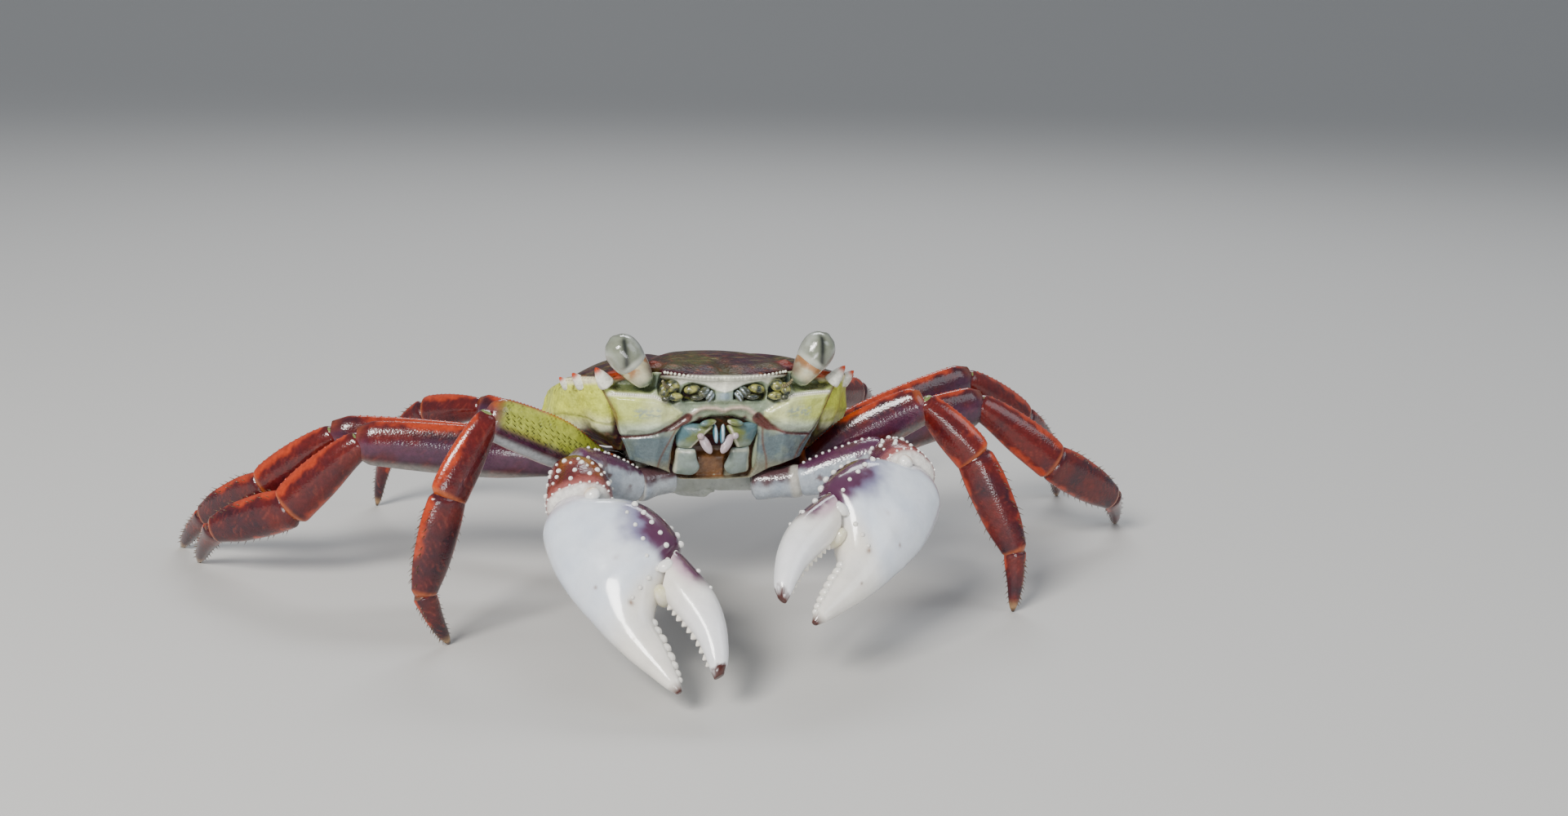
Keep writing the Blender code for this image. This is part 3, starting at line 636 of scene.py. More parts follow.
RIDGE_PINK = (0.55, 0.42, 0.33)
HOLE_BROWN = (0.07, 0.025, 0.02)
GULLET_DARK = (0.06, 0.02, 0.01)
GULLET_RUST = (0.19, 0.085, 0.03)
LINE_RED = (0.10, 0.016, 0.014)
GRANULE_WHITE = (0.92, 0.90, 0.80)
# Lines and outlines on the crab's left half of the face: x from the mid-line, z.
LIP = ((0.0, 2.45), (1.4, 2.8), (3.3, 3.75), (5.8, 4.2), (6.9, 3.7), (8.1, 4.5), (9.8, 5.8))
FEELER_PIT = (
    (1.4, 1.25), (1.4, 2.8), (2.9, 3.6), (5.0, 4.1), (6.3, 3.6), (6.9, 2.6), (6.7, 1.1), (3.9, 1.05),
)
KNOB_PIT = (
    (6.8, 1.3), (7.0, 3.2), (7.8, 4.1), (8.8, 5.0), (10.2, 5.5), (10.7, 3.6), (10.4, 2.2), (9.2, 1.3),
    (8.0, 0.7),
)
SOCKET = (
    (10.4, 3.2), (10.6, 5.3), (13.6, 6.0), (16.6, 5.6), (18.3, 4.6), (18.0, 3.3), (16.6, 2.6), (13.2, 2.45),
    (11.4, 2.4),
)
CHEEK = (
    (17.6, 2.4), (14.4, 2.2), (11.0, 1.9), (9.2, 1.1), (6.5, -0.6), (6.9, -1.8), (9.5, -3.2), (11.7, -3.9),
    (15.0, -3.8), (16.6, -1.2),
)
CHEEK_TOP = ((9.2, 1.1), (11.0, 1.9), (14.4, 2.2), (17.6, 2.4))
CHEEK_GRANULES = 23
MOUTH = (
    (-3.0, -0.9), (1.8, -1.0), (4.4, -1.9), (6.2, -2.7), (6.9, -4.2), (7.3, -7.0), (7.3, -9.5),
    (6.4, -11.2), (-3.0, -11.6),
)
MOUTH_FRAME = ((6.9, -3.2), (7.6, -5.5), (8.6, -8.0), (8.9, -9.8))
MOUTH_RIDGE = ((0.2, -0.35), (1.2, 0.0), (2.8, 0.1), (3.8, -0.1), (5.1, -1.0))
CHEEK_SEAM = ((18.8, 3.5), (17.8, 1.7), (16.6, -0.6), (15.7, -3.2), (14.2, -6.0), (13.4, -8.4))
CHEEK_LINE = ((15.4, -4.3), (13.2, -4.25), (10.8, -4.0), (8.0, -2.9), (5.6, -1.2))
# The moulding's upper and lower borders, and its half widths there.
FACE_TOP = ((0.0, 4.65), (4.9, 4.9), (9.8, 5.6), (10.6, 5.7), (13.6, 5.6), (16.6, 5.2), (19.0, 4.6))
FACE_FOOT = ((0.0, -11.4), (6.2, -11.2), (9.0, -9.6), (14.0, -7.8))
TOP_HALF, FOOT_HALF = 18.8, 13.6
# The plain face in upright columns: x, then the heights down it, then y at each height.
FACE_COLUMNS = (
    (0.0, (5.5, 3.0, 1.0, -0.5, -1.5, -6.5, -11.5), (-22.0, -21.0, -20.5, -19.7, -19.2, -16.4, -13.9)),
    (5.0, (5.6, 3.0, 1.0, -0.5, -1.5, -6.5, -11.5), (-21.8, -20.8, -20.4, -19.8, -19.3, -16.9, -14.2)),
    (10.0, (5.8, 4.0, 2.0, -0.5, -1.5, -6.0, -11.5), (-20.9, -20.1, -20.2, -19.9, -19.5, -17.3, -13.8)),
    (14.0, (5.6, 4.0, 2.3, 0.0, -2.0, -5.5, -11.5), (-19.0, -19.2, -19.5, -19.1, -18.2, -15.9, -11.8)),
    (17.0, (5.2, 4.0, 2.5, 0.5, -1.5, -5.0, -11.5), (-18.2, -18.4, -18.5, -18.0, -17.2, -15.0, -9.5)),
    (19.0, (5.0, 4.0, 2.5, 0.5, -1.5, -5.0, -11.5), (-17.3, -17.3, -17.0, -16.3, -15.4, -13.0, -7.5)),
)
# Half the face's width at each height: z, x.
FACE_SIDES = (
    (-11.6, 12.0), (-8.4, 13.5), (-6.0, 14.4), (-3.2, 15.8), (-0.6, 16.7), (1.7, 17.9), (3.5, 18.8),
    (6.2, 18.9),
)


def along_line(points, at):
    """The second number of a two-number line of points, at the first."""
    for (low, value), (high, after) in zip(points, points[1:]):
        if at <= high:
            return mix(value, after, max(0.0, (at - low) / (high - low)))
    return points[-1][1]


def inside(points, x, z):
    """How far inside a closed outline the point is. Outside it is negative."""
    within = False
    ring = [*points, points[0]]
    for (ax, az), (bx, bz) in zip(ring, ring[1:]):
        if (az > z) != (bz > z) and x < ax + (z - az) / (bz - az) * (bx - ax):
            within = not within
    apart = from_line(ring, x, z)
    return apart if within else -apart


def face_depth(x, z):
    """y of the plain face: smooth curves down the columns, blended across them."""
    for (low, *low_column), (high, *high_column) in zip(FACE_COLUMNS, FACE_COLUMNS[1:]):
        if x <= high:
            break
    here, there = (
        station_at([(-height, y) for height, y in zip(*column)], -z)[0]
        for column in (low_column, high_column)
    )
    return mix(here, there, max(0.0, min(1.0, (x - low) / (high - low))))


def mid_line(z):
    """The mouth leans a little: its middle lies to the crab's right lower down."""
    return -0.9 * ease(-0.3, -7.0, z)


def face_sink(x, z):
    """How deep the face is pressed in at a point, with x from the mid-line. Raised parts are negative."""
    lip = along_line(LIP, x)
    sink = 0.55 * ease(5.6, lip, z) * ease(10.5, 8.5, x) if z > lip else 0.55 * ease(10.5, 8.5, x)
    sink += 1.9 * ease(-0.15, 0.75, inside(FEELER_PIT, x, z))
    sink += 1.3 * ease(-0.1, 0.6, inside(KNOB_PIT, x, z))
    sink -= 0.45 * gauss(x, 0.7) * gauss(z - 2.2, 1.4)
    sink += 2.7 * ease(-0.1, 1.3, inside(SOCKET, x, z))
    cheek = inside(CHEEK, x, z)
    sink -= 0.75 * ease(-0.25, 0.9, cheek) - 0.20 * ease(0.6, 2.2, cheek)
    sink -= 0.45 * gauss(from_line(MOUTH_RIDGE, x, z), 0.42)
    sink += 0.35 * gauss(z - 0.55, 0.35) * ease(6.4, 5.4, x)
    sink += mix(3.0, 1.5, ease(-6.5, -8.0, z) * ease(3.2, 2.0, x)) * ease(-0.1, 0.8, inside(MOUTH, x, z))
    sink += 0.5 * gauss(from_line(CHEEK_SEAM, x, z), 0.3)
    sink += 0.45 * gauss(from_line(CHEEK_LINE, x, z), 0.28)
    return sink


def face_colour(x, y, z):
    """Each part of the face in its own colour, from the plain ground to the seams drawn over it."""
    across = x - mid_line(z)
    side = abs(across)
    cloudy = blot(x, y, z, 2.2, 3.0)
    lip = along_line(LIP, side)
    in_lip = ease(lip - 0.1, lip + 0.1, z) * ease(10.3, 9.5, side)
    dark = blend(PIT_DARK, PIT_OLIVE, 0.8 * ease(0.52, 0.66, blot(x, y, z, 0.9, 7.0)))
    post = gauss(side - 10.5, 0.6) * ease(2.7, 3.4, z) * ease(5.6, 5.2, z)
    plate = blend(CHEEK_GREEN, CHEEK_CREAM, ease(14.5, 10.5, side) + 0.5 * (cloudy - 0.5))
    plate = blend(plate, CHEEK_LOW, 0.8 * ease(-1.2, -3.2, z))
    hairs = ease(9.4, 10.6, side) * ease(14.6, 13.4, side) * ease(-1.9, -0.9, z) * ease(0.5, -0.3, z)
    plate = blend(plate, CHEEK_HAIR, 0.75 * hairs * ease(0.36, 0.60, blot(x * 0.6, y, z, 0.4, 5.0)))
    gullet = blend(GULLET_DARK, GULLET_RUST, ease(-5.5, -8.0, z) * (0.35 + blot(x, y, z, 0.9)))
    band = mix(0.75, 0.14, ease(5.6, 10.5, side))
    from_cheek = from_line(CHEEK_LINE, side, z + 0.3 * ease(9, 6, side))
    return coats(
        blend(FACE_GREEN, SLATE, ease(-2.5, -5.0, z) + 0.9 * (cloudy - 0.5)),
        (FOOT_BROWN, 0.7 * ease(-7.5, -9.5, z)),
        (SIDE_GREEN, ease(9.0, 15.0, side) * ease(-3.0, 1.0, z)),
        (GREY_GREEN, ease(7.4, 6.4, side) * ease(-1.4, -0.6, z)),
        (WHITE_LIP, ease(lip - 0.1, lip + 0.15, z) * ease(10.3, 9.5, side)),
        (LIP_SHADE, 0.3 * ease(lip + 0.7, lip, z) * in_lip),
        (dark, ease(-0.05, 0.35, inside(FEELER_PIT, side, z))),
        (BEAK_BLUE, gauss(side, 1.1) * ease(2.55, 2.25, z) * ease(1.0, 1.6, z)),
        (dark, ease(-0.05, 0.3, inside(KNOB_PIT, side, z))),
        (blend(SOCKET_TEAL, SOCKET_OLIVE, cloudy), ease(-0.1, 0.5, inside(SOCKET, side, z))),
        (POST_DARK, 0.8 * post),
        (ORBIT_RED, 0.9 * gauss(side - 16.2, 1.9) * ease(4.4, 5.0, z)),
        (plate, ease(-0.2, 0.15, inside(CHEEK, side, z))),
        (RIM_WHITE, 0.9 * gauss(from_line(CHEEK_TOP, side, z), 0.28)),
        (RIDGE_PINK, gauss(from_line(MOUTH_RIDGE, side, z), 0.35)),
        (HOLE_BROWN, gauss(math.hypot(side - 3.6, z + 1.55), 0.5)),
        (gullet, ease(0.0, 0.6, inside(MOUTH, side, z))),
        (SEAM_BROWN, 0.85 * gauss(from_line(CHEEK_SEAM, side, z), 0.20)),
        (LINE_RED, 0.95 * ease(band + 0.25, band - 0.1, from_cheek)),
        (SEAM_BROWN, 0.85 * gauss(from_line(MOUTH_FRAME, side, z), 0.16)),
    )


face = new_skin()
bmesh.ops.create_grid(face, x_segments=240, y_segments=124, size=1.0)
for vert in face.verts:
    across, down = vert.co.x, (1 - vert.co.y) / 2
    top = along_line(FACE_TOP, abs(across) * TOP_HALF)
    foot = along_line(FACE_FOOT, abs(across) * FOOT_HALF)
    z = mix(top, foot, down)
    x = across * along_line(FACE_SIDES, z)
    side = abs(x - mid_line(z) * ease(9.0, 6.5, abs(x)))
    vert.co = Vector((x, face_depth(abs(x), z) + face_sink(side, z), z))
bmesh.ops.smooth_vert(face, verts=face.verts, factor=0.5, use_axis_y=True)
paint(face, face.verts, face_colour)
# Its border is drawn back into the body and closed.
border = [edge for edge in face.edges if edge.is_boundary]
backing = bmesh.ops.extrude_edge_only(face, edges=border)
for vert in backing["geom"]:
    if isinstance(vert, bmesh.types.BMVert):
        vert.co.y = -13.0 + 0.25 * abs(vert.co.x) - 0.1 * min(0.0, vert.co.z + 5)
        vert.co.z = min(vert.co.z, 4.0)
bmesh.ops.holes_fill(face, edges=[edge for edge in face.edges if edge.is_boundary], sides=0)
# A row of small white granules along each cheek plate's upper edge.
for side in (-1, 1):
    for k in range(CHEEK_GRANULES):
        x = 9.6 + 0.35 * k
        z = along_line(CHEEK_TOP, x)
        bead(face, (side * x, face_depth(x, z) + face_sink(x, z) - 0.12, z + 0.08), 0.19, GRANULE_WHITE)
face_shell = shell("face_shell", 0.26, 0.6, 0.16, 1.0, 0.30, 0.4)
add_piece("face", face, face_shell, place=BODY)

# ---- Eyes ----
# Each eye stands on a short jointed stalk that swells out of the socket, leaning out and up. The clear
# grey-green cap is faceted, wet and 5 mm across, with a dark upright bar that looks ahead. The stalk is
# cream and brown.
STALK_CREAM = (0.66, 0.58, 0.33)
STALK_GREY = (0.50, 0.50, 0.38)
STALK_BROWN = (0.38, 0.15, 0.035)
STALK_SHADE = (0.10, 0.05, 0.03)
STALK_FOOT = (0.16, 0.20, 0.13)
EYE_GREEN = (0.26, 0.29, 0.22)
EYE_GREY = (0.44, 0.47, 0.42)
EYE_CLOUD = (0.15, 0.15, 0.10)
EYE_RIM = (0.56, 0.58, 0.50)
EYE_BLACK = (0.006, 0.008, 0.006)
# The crab's right and left, with the sign of x. Then each stalk's start in its socket, and its eye's tip.
SIDES = (("r", -1), ("l", 1))
EYE_BASES = {"r": Vector((-12.4, -20.3, 4.3)), "l": Vector((11.9, -20.3, 4.3))}
EYE_TIPS = {"r": Vector((-17.5, -20.9, 10.9)), "l": Vector((16.2, -20.9, 11.1))}
# Stations from the socket outwards: x, lower and upper edge, half thickness.
STALK = (
    (-0.7, -1.2, 1.2, 1.2), (0.0, -1.5, 1.5, 1.4), (1.0, -1.85, 1.85, 1.7), (2.2, -2.2, 2.2, 2.0),
    (3.4, -2.4, 2.4, 2.25), (4.3, -2.35, 2.45, 2.25), (5.0, -1.6, 1.9, 1.6),
)
CAP = (
    (1.8, -1.2, 1.2, 1.2), (3.0, -2.3, 2.25, 2.25), (4.2, -2.7, 2.65, 2.6), (5.6, -2.8, 2.75, 2.65),
    (7.0, -2.45, 2.45, 2.4), (8.1, -1.5, 1.5, 1.45), (8.6, -0.5, 0.5, 0.5),
)


def stalk_colour(x, y, z):
    """Cream with brown patches, darker on the side to the mid-line and greenish at its foot."""
    patches = ease(0.44, 0.58, blot(x, y, z, 1.9, 5.0)) * ease(1.2, 2.6, x)
    return coats(
        blend(STALK_CREAM, STALK_GREY, blot(x, y, z, 1.6)),
        (STALK_BROWN, 0.9 * patches),
        (STALK_SHADE, 0.8 * ease(0.2, 1.6, y) * ease(4.0, 1.0, x)),
        (STALK_FOOT, ease(1.0, -0.4, x)),
    )


def cap_colour(x, y, z):
    """Dark bar on the side away from the body's tail, pale round the rim of the cap."""
    ahead = ease(0.3, 1.7, z)
    bar = gauss(y - 0.6 * (x - 5.7), 0.60) * ease(8.0, 7.2, x) * ease(3.4, 4.1, x)
    return coats(
        blend(EYE_GREEN, EYE_GREY, ease(1.2, 2.4, abs(y))),
        (EYE_CLOUD, 0.7 * blot(x, y, z, 1.3)),
        (EYE_RIM, 0.8 * ease(4.2, 3.4, x)),
        (EYE_BLACK, 0.96 * bar * ahead),
    )


eye_stalk_shell = shell("eye_stalk", 0.22, 0.8, 0.12, 0.9, 0.15, 0.3)
eye_glass = shell("eye_cap", 0.05, 1.0, 0.04, 0.6, 0.10, 0.14, milky=0.35)
for letter, side in SIDES:
    place = BODY @ span_matrix(EYE_BASES[letter], EYE_TIPS[letter], Vector((-side, 0, 0)))
    ahead = 1 if (place.to_3x3() @ Vector((0, 0, 1))).y < 0 else -1
    stalk = new_skin()
    grow_ball(stalk, 48, 40, limb_shape(STALK, 2, 2, 0.12), stalk_colour)
    add_piece(f"eye_{letter}_stalk", stalk, eye_stalk_shell, place=place)
    cap = new_skin()
    grow_ball(cap, 64, 48, limb_shape(CAP, 2, 2, 0.10), lambda x, y, z: cap_colour(x, y, z * ahead))
    add_piece(f"eye_{letter}", cap, eye_glass, [f"eye_{letter}"], place)

# ---- Feelers ----
# The small feelers lie folded in the pits beside the nose, glossy and dark, with blue-white streaks of
# painted highlight. The larger ones start as olive knobs between pit and eye and end in a short ringed
# whip.
OLIVE_KNOB = (0.36, 0.35, 0.09)
KNOB_BLACK = (0.02, 0.03, 0.025)
WET_BLACK = (0.015, 0.025, 0.03)
# Painted highlight: the pale streaks on the folded small feelers.
WET_OLIVE = (0.08, 0.08, 0.03)
GLINT_BLUE = (0.50, 0.62, 0.70)
WHIP_TAN = (0.22, 0.19, 0.08)
WHIP_BROWN = (0.08, 0.05, 0.03)
# Points up the left whip, and its rings from each to the next.
WHIP = ((8.9, -21.0, 3.3), (9.5, -21.7, 3.5), (9.95, -22.3, 3.9), (10.2, -22.7, 4.4))
WHIP_RINGS = 5

feeler_shell = shell("feeler_shell", 0.14, 0.9, 0.35, 0.6, 0.2, 0.3)


def knob(bm, centre, radii, colour, lean=0.0):
    """A smooth lump, its long way turned by so many degrees in the plane of the face."""
    leaning = Matrix.Translation(centre) @ Matrix.Rotation(math.radians(lean), 4, "Y")
    place = leaning @ Matrix.Diagonal((*radii, 1.0))
    ball = bmesh.ops.create_uvsphere(bm, u_segments=20, v_segments=12, radius=1.0, matrix=place)
    paint(bm, ball["verts"], colour)


def knob_colour(x, y, z):
    """Olive with small black marks."""
    return blend(KNOB_BLACK, OLIVE_KNOB, 2.6 * blot(x, y, z, 0.8, 3.0) - 0.85)


def folded_colour(x, y, z):
    """Wet and dark, with slanting pale streaks of painted highlight next to the nose."""
    glint = gauss((abs(x) + 0.8 * z) * 1.3 % 1.0 - 0.5, 0.16) * ease(3.6, 2.2, abs(x))
    return blend(blend(WET_BLACK, WET_OLIVE, blot(x, y, z, 0.7)), GLINT_BLUE, glint)


for letter, side in SIDES:
    feeler = new_skin()
    for centre, radii, lean, colour in (
        ((5.1, -20.1, 3.0), (1.35, 0.9, 0.75), 10, knob_colour),
        ((3.3, -20.0, 2.5), (1.1, 0.8, 0.85), 30, folded_colour),
        ((2.3, -20.1, 1.9), (0.65, 0.7, 0.95), -25, folded_colour),
        ((4.4, -20.3, 1.75), (1.1, 0.7, 0.45), 0, folded_colour),
        ((8.3, -20.7, 3.5), (1.15, 0.8, 1.0), 20, knob_colour),
        ((9.6, -20.8, 2.9), (0.85, 0.7, 1.1), -20, knob_colour),
        ((7.9, -20.8, 1.9), (1.2, 0.7, 0.65), 0, knob_colour),
        ((9.4, -20.7, 1.6), (0.7, 0.6, 0.5), 0, folded_colour),
    ):
        knob(feeler, Vector((side * centre[0], centre[1], centre[2])), radii, colour, side * lean)
    whip = [Vector((side * x, y, z)) for x, y, z in WHIP]
    for k in range(3 * WHIP_RINGS):
        low, step = divmod(k, WHIP_RINGS)
        spot = whip[low].lerp(whip[low + 1], step / WHIP_RINGS)
        bead(feeler, spot, 0.34 - 0.009 * k, blend(WHIP_TAN, WHIP_BROWN, k % 2), 2)
    add_piece(f"antenna_{letter}", feeler, feeler_shell, [f"antenna_{letter}"], BODY)

# ---- Mouthparts ----
# Two pairs of flat plates close the mouth like gaping doors, teal and olive above and blue-grey below,
# with a narrow strip outside them. Pinkish jointed palps and the bluish jaws show between them.
DOOR_OLIVE = (0.15, 0.18, 0.05)
DOOR_TEAL = (0.085, 0.165, 0.185)
# A pale band of painted sheen across the upper door, standing in for a highlight.
DOOR_PAINTED_SHEEN = (0.30, 0.38, 0.32)
DOOR_RIM = (0.72, 0.69, 0.50)
LOWER_BLUE = (0.27, 0.33, 0.32)
LOWER_GREEN = (0.19, 0.24, 0.19)
LOWER_RIM = (0.70, 0.68, 0.50)
STRIP_GREEN = (0.20, 0.25, 0.20)
STRIP_OLIVE = (0.30, 0.32, 0.18)
PALP_PINK = (0.40, 0.28, 0.27)
PALP_LILAC = (0.52, 0.46, 0.52)
JAW_DARK = (0.05, 0.15, 0.20)
JAW_BLUE = (0.52, 0.64, 0.70)
# The mouth slopes: in each millimetre down it, so much falls and so much goes back towards the tail.
MOUTH_FALL, MOUTH_BACK = 0.892, 0.451
MOUTH_DOWN = Vector((0, MOUTH_BACK, -MOUTH_FALL))
MOUTH_OUT = Vector((0, -MOUTH_FALL, -MOUTH_BACK))
MOUTH_TOP = Vector((0, -19.0, -1.5))
# Outlines of the left plates: x from the mid-line, z.
UPPER_DOOR = (
    (1.1, -3.1), (1.6, -2.9), (3.4, -2.7), (5.9, -2.6), (6.4, -2.9), (6.5, -4.4), (6.1, -6.0),
    (5.6, -6.45), (3.8, -6.45), (3.4, -6.1), (2.2, -4.5),
)
LOWER_DOOR = (
    (3.0, -6.7), (4.4, -6.6), (5.8, -6.7), (6.0, -8.6), (6.1, -10.5), (4.6, -10.8), (2.9, -10.7),
    (2.0, -9.6), (2.5, -8.2),
)
SIDE_STRIP = (
    (6.6, -3.9), (7.1, -3.9), (7.9, -6.0), (8.5, -8.4), (8.5, -9.9), (7.0, -10.5), (6.6, -9.0),
    (6.6, -6.5),
)


def closed_curve(points, turn):
    """A smooth closed curve through flat points."""
    count = len(points)
    place = turn * count
    low = int(place) % count
    share = place - int(place)
    near = (Vector(points[(low + k) % count]) for k in (-1, 0, 1, 2))
    return smooth_between(*near, share)


def plate_shape(outline, half, crown):
    """A shape for grow_ball: a plate with rounded edges in the plane of its outline, crowned outwards."""
    middle = sum((Vector(point) for point in outline), Vector((0, 0))) / len(outline)

    def shape(turn, depth):
        reach = math.sin(depth * math.pi) ** 0.6
        edge = closed_curve(outline, turn)
        point = middle + (edge - middle) * reach
        up = math.cos(depth * math.pi)
        height = half * power_curve(up, 3.2) + (crown * (1 - reach ** 2) if up > 0 else 0.0)
        return Vector((point.x, point.y, height))

    return shape


def on_mouth(side, point, lift):
    """Puts a plate's point (x from the mid-line, z, height) on the sloping mouth, raised by the lift."""
    x, z, height = point
    down = (MOUTH_TOP.z - z) / MOUTH_FALL
    place = MOUTH_TOP + MOUTH_DOWN * down + MOUTH_OUT * (height + lift - 0.022 * x * x)
    place.x = side * x + mid_line(place.z)
    return place


def upper_door_colour(x, y, z):
    """Olive at the inner edge behind a pale rim, teal further out, and a painted sheen low across it."""
    across = abs(x - mid_line(z))
    inner = across - (1.35 + 0.72 * (-3.0 - z))
    outer = ease(1.2, 3.0, inner + 1.6 * (blot(x, y, z, 1.1) - 0.5))
    return coats(
        blend(DOOR_OLIVE, DOOR_TEAL, outer),
        # The painted sheen: a pale band low across the door.
        (DOOR_PAINTED_SHEEN, 0.6 * gauss(z + 5.7, 0.6)),
        (DOOR_RIM, 0.85 * gauss(inner - 0.25, 0.20)),
    )


def lower_door_colour(x, y, z):
    """Blue-grey and green-grey, pale along its upper and outer edges."""
    edge = ease(0.55, 0.1, abs(abs(x - mid_line(z)) - 6.0)) + 0.7 * gauss(z + 6.75, 0.25)
    return coats(blend(LOWER_BLUE, LOWER_GREEN, blot(x, y, z, 1.8)), (LOWER_RIM, 0.6 * edge))


def strip_colour(x, y, z):
    return blend(STRIP_GREEN, STRIP_OLIVE, blot(x, y, z, 1.5))


def palp_colour(x, y, z):
    return blend(PALP_PINK, PALP_LILAC, blot(x, y, z, 1.0))


mouth_shell = shell("mouth_shell", 0.22, 0.7, 0.14, 0.8, 0.2, 0.35)
for letter, side in SIDES:
    doors = new_skin()
    for outline, half, crown, lift, colour in (
        (UPPER_DOOR, 0.55, 0.35, -0.35, upper_door_colour),
        (LOWER_DOOR, 0.55, 0.30, -0.45, lower_door_colour),
        (SIDE_STRIP, 0.45, 0.25, -0.35, strip_colour),
    ):
        flat = plate_shape(outline, half, crown)
        grow_ball(doors, 96, 40, lambda turn, depth: on_mouth(side, flat(turn, depth), lift), colour)
    # The palp, slanting down to the mid-line, and the olive plate above the door.
    for centre, radii, lean in (
        ((1.70, -17.5, -5.6), (1.75, 0.5, 0.76), -60),
        ((2.75, -17.9, -4.35), (0.60, 0.5, 0.55), -40),
    ):
        spot = Vector((side * centre[0] + mid_line(centre[2]), centre[1], centre[2]))
        knob(doors, spot, radii, palp_colour, side * lean)
    above = Vector((side * 2.2 + mid_line(-2.3), -18.9, -2.25))
    knob(doors, above, (1.35, 0.5, 0.55), upper_door_colour, side * 12)
    add_piece(f"maxilliped_{letter}", doors, mouth_shell, [f"maxilliped_{letter}"], BODY)


def jaw_colour(x, y, z):
    pale = ease(0.30, 0.05, abs(abs(x + 0.45) - 0.55)) * ease(-5.6, -4.8, z)
    return blend(JAW_DARK, JAW_BLUE, pale)


jaws = new_skin()
for side in (-1, 1):
    knob(jaws, Vector((side * 0.55 - 0.45, -17.9, -4.0)), (0.44, 0.6, 1.55), jaw_colour, side * 6)
add_piece("jaws", jaws, mouth_shell, place=BODY)

# ---- Underside ----
# The breastplate between the legs is broad and smooth, grooved between its segments. The narrow tail
# plate of a male is folded forward under it. Both are pale, with blue-grey and olive shading.
BREAST_OLIVE = (0.27, 0.28, 0.21)
BREAST_PALE = (0.44, 0.47, 0.43)
GROOVE_BROWN = (0.22, 0.16, 0.09)
BREAST_REAR = (0.13, 0.12, 0.05)
TAIL_OLIVE = (0.30, 0.31, 0.24)
TAIL_PALE = (0.50, 0.53, 0.49)
TAIL_MAROON = (0.040, 0.010, 0.012)
TAIL_DARK = (0.075, 0.055, 0.018)
TAIL_EDGE = (0.17, 0.12, 0.045)
# The breastplate's outline from below, and where its grooves cross the mid-line.
BREAST = (
    (0.0, -9.4), (4.0, -9.5), (6.6, -9.3), (8.8, -8.3), (11.4, -5.8), (12.0, 0.0), (12.0, 8.2),
    (10.5, 10.8), (9.4, 14.6), (6.2, 16.5), (0.0, 16.8), (-6.2, 16.5), (-9.4, 14.6), (-10.5, 10.8),
    (-12.0, 8.2), (-12.0, 0.0), (-11.4, -5.8), (-8.8, -8.3), (-6.6, -9.3), (-4.0, -9.5),
)
BREAST_GROOVES = (-5.6, -0.6, 4.6, 9.8)


def breast_point(turn, depth):
    """The plate's skin: its hidden upper face first, then the grooved lower one. It rises to the mouth."""
    reach = math.sin(depth * math.pi) ** 0.5
    if depth <= 0.5:
        widen = 0.97
        height = -6.1 - 3.2 * ease(0.30, 0.5, depth)
    else:
        widen = mix(0.99, 0.87, ease(0.5, 0.72, depth))
        height = -9.3 - 4.3 * ease(0.5, 0.70, depth)
    point = closed_curve(BREAST, turn) * reach * widen
    side = abs(point.x)
    if depth > 0.6:
        groove = sum(gauss(point.y - y + 0.10 * side, 0.35) for y in BREAST_GROOVES)
        height += 0.5 * groove * ease(4.0, 6.0, side) + 0.45 * gauss(side, 1.0) * ease(-2, -6, point.y)
        height -= 0.25 * gauss(side - 8.0, 2.2)
    if point.y < -8.0:
        height = min(height, -5.5 + (point.y + 8.0) * 0.8 - 0.3)
    return Vector((point.x, point.y, height))


def breast_colour(x, y, z):
    """Olive-grey and pale below, brown in the grooves and dark to the rear."""
    groove = sum(gauss(y - at + 0.10 * abs(x), 0.3) for at in BREAST_GROOVES) * ease(4.0, 6.0, abs(x))
    return coats(
        blend(BREAST_OLIVE, BREAST_PALE, blot(x, y, z, 4.0) + ease(-7.0, -12.0, z) * 0.4),
        (GROOVE_BROWN, min(0.8, groove)),
        (BREAST_REAR, 0.9 * ease(9.0, 14.0, y)),
    )


breast_shell = shell("breast_shell", 0.28, 0.5, 0.12, 1.2, 0.2, 0.45)
breast = new_skin()
grow_ball(breast, 200, 80, breast_point, breast_colour)
add_piece("sternum", breast, breast_shell, ["sternum"], BODY)

# Points down the middle of the tail plate, from the rear of the back to its tip: y, z, half width.
TAIL = (
    (20.9, 2.2, 7.9), (21.6, -0.8, 7.7), (21.1, -5.2, 6.7), (18.9, -10.0, 5.7), (15.4, -13.3, 5.0),
    (10.0, -14.3, 4.3), (4.0, -14.1, 3.4), (-1.5, -13.8, 2.4), (-5.0, -13.6, 1.5),
)
TAIL_JOINTS = (1.0, 2.0, 3.0, 4.0, 5.0, 6.2)


def tail_point(turn, depth):
    """The tail plate's skin: a flat strip that follows its middle line round the rear of the body."""
    last = len(TAIL) - 1
    place = depth * last
    points = [(k, *row) for k, row in enumerate(TAIL)]
    here = station_at(points, place)
    ahead = station_at(points, min(place + 0.05, last))
    back = station_at(points, max(place - 0.05, 0.0))
    line = Vector((0, ahead[0] - back[0], ahead[1] - back[1])).normalized()
    out = line.cross(Vector((1, 0, 0)))
    if out.dot(Vector((0, here[0] - 8.0, here[1] + 4.0))) < 0:
        out.negate()
    closing = math.sqrt(max(0.0, 1 - (1 - min(1.0, depth / 0.03, (1 - depth) / 0.05)) ** 2))
    across, up = math.cos(turn * math.tau), math.sin(turn * math.tau)
    groove = sum(gauss(place - joint, 0.07) for joint in TAIL_JOINTS)
    thick = 0.72 - 0.42 * min(1.0, groove)
    x = here[2] * power_curve(across, 3.2) * closing
    lift = thick * power_curve(up, 2.6) * closing
    if up > 0:
        ridge, furrow = gauss(x, here[2] * 0.55), gauss(abs(x) - here[2] * 0.62, 0.5)
        lift += 0.45 * ridge * closing - 0.25 * furrow * closing
    return Vector((x, here[0], here[1])) + out * lift


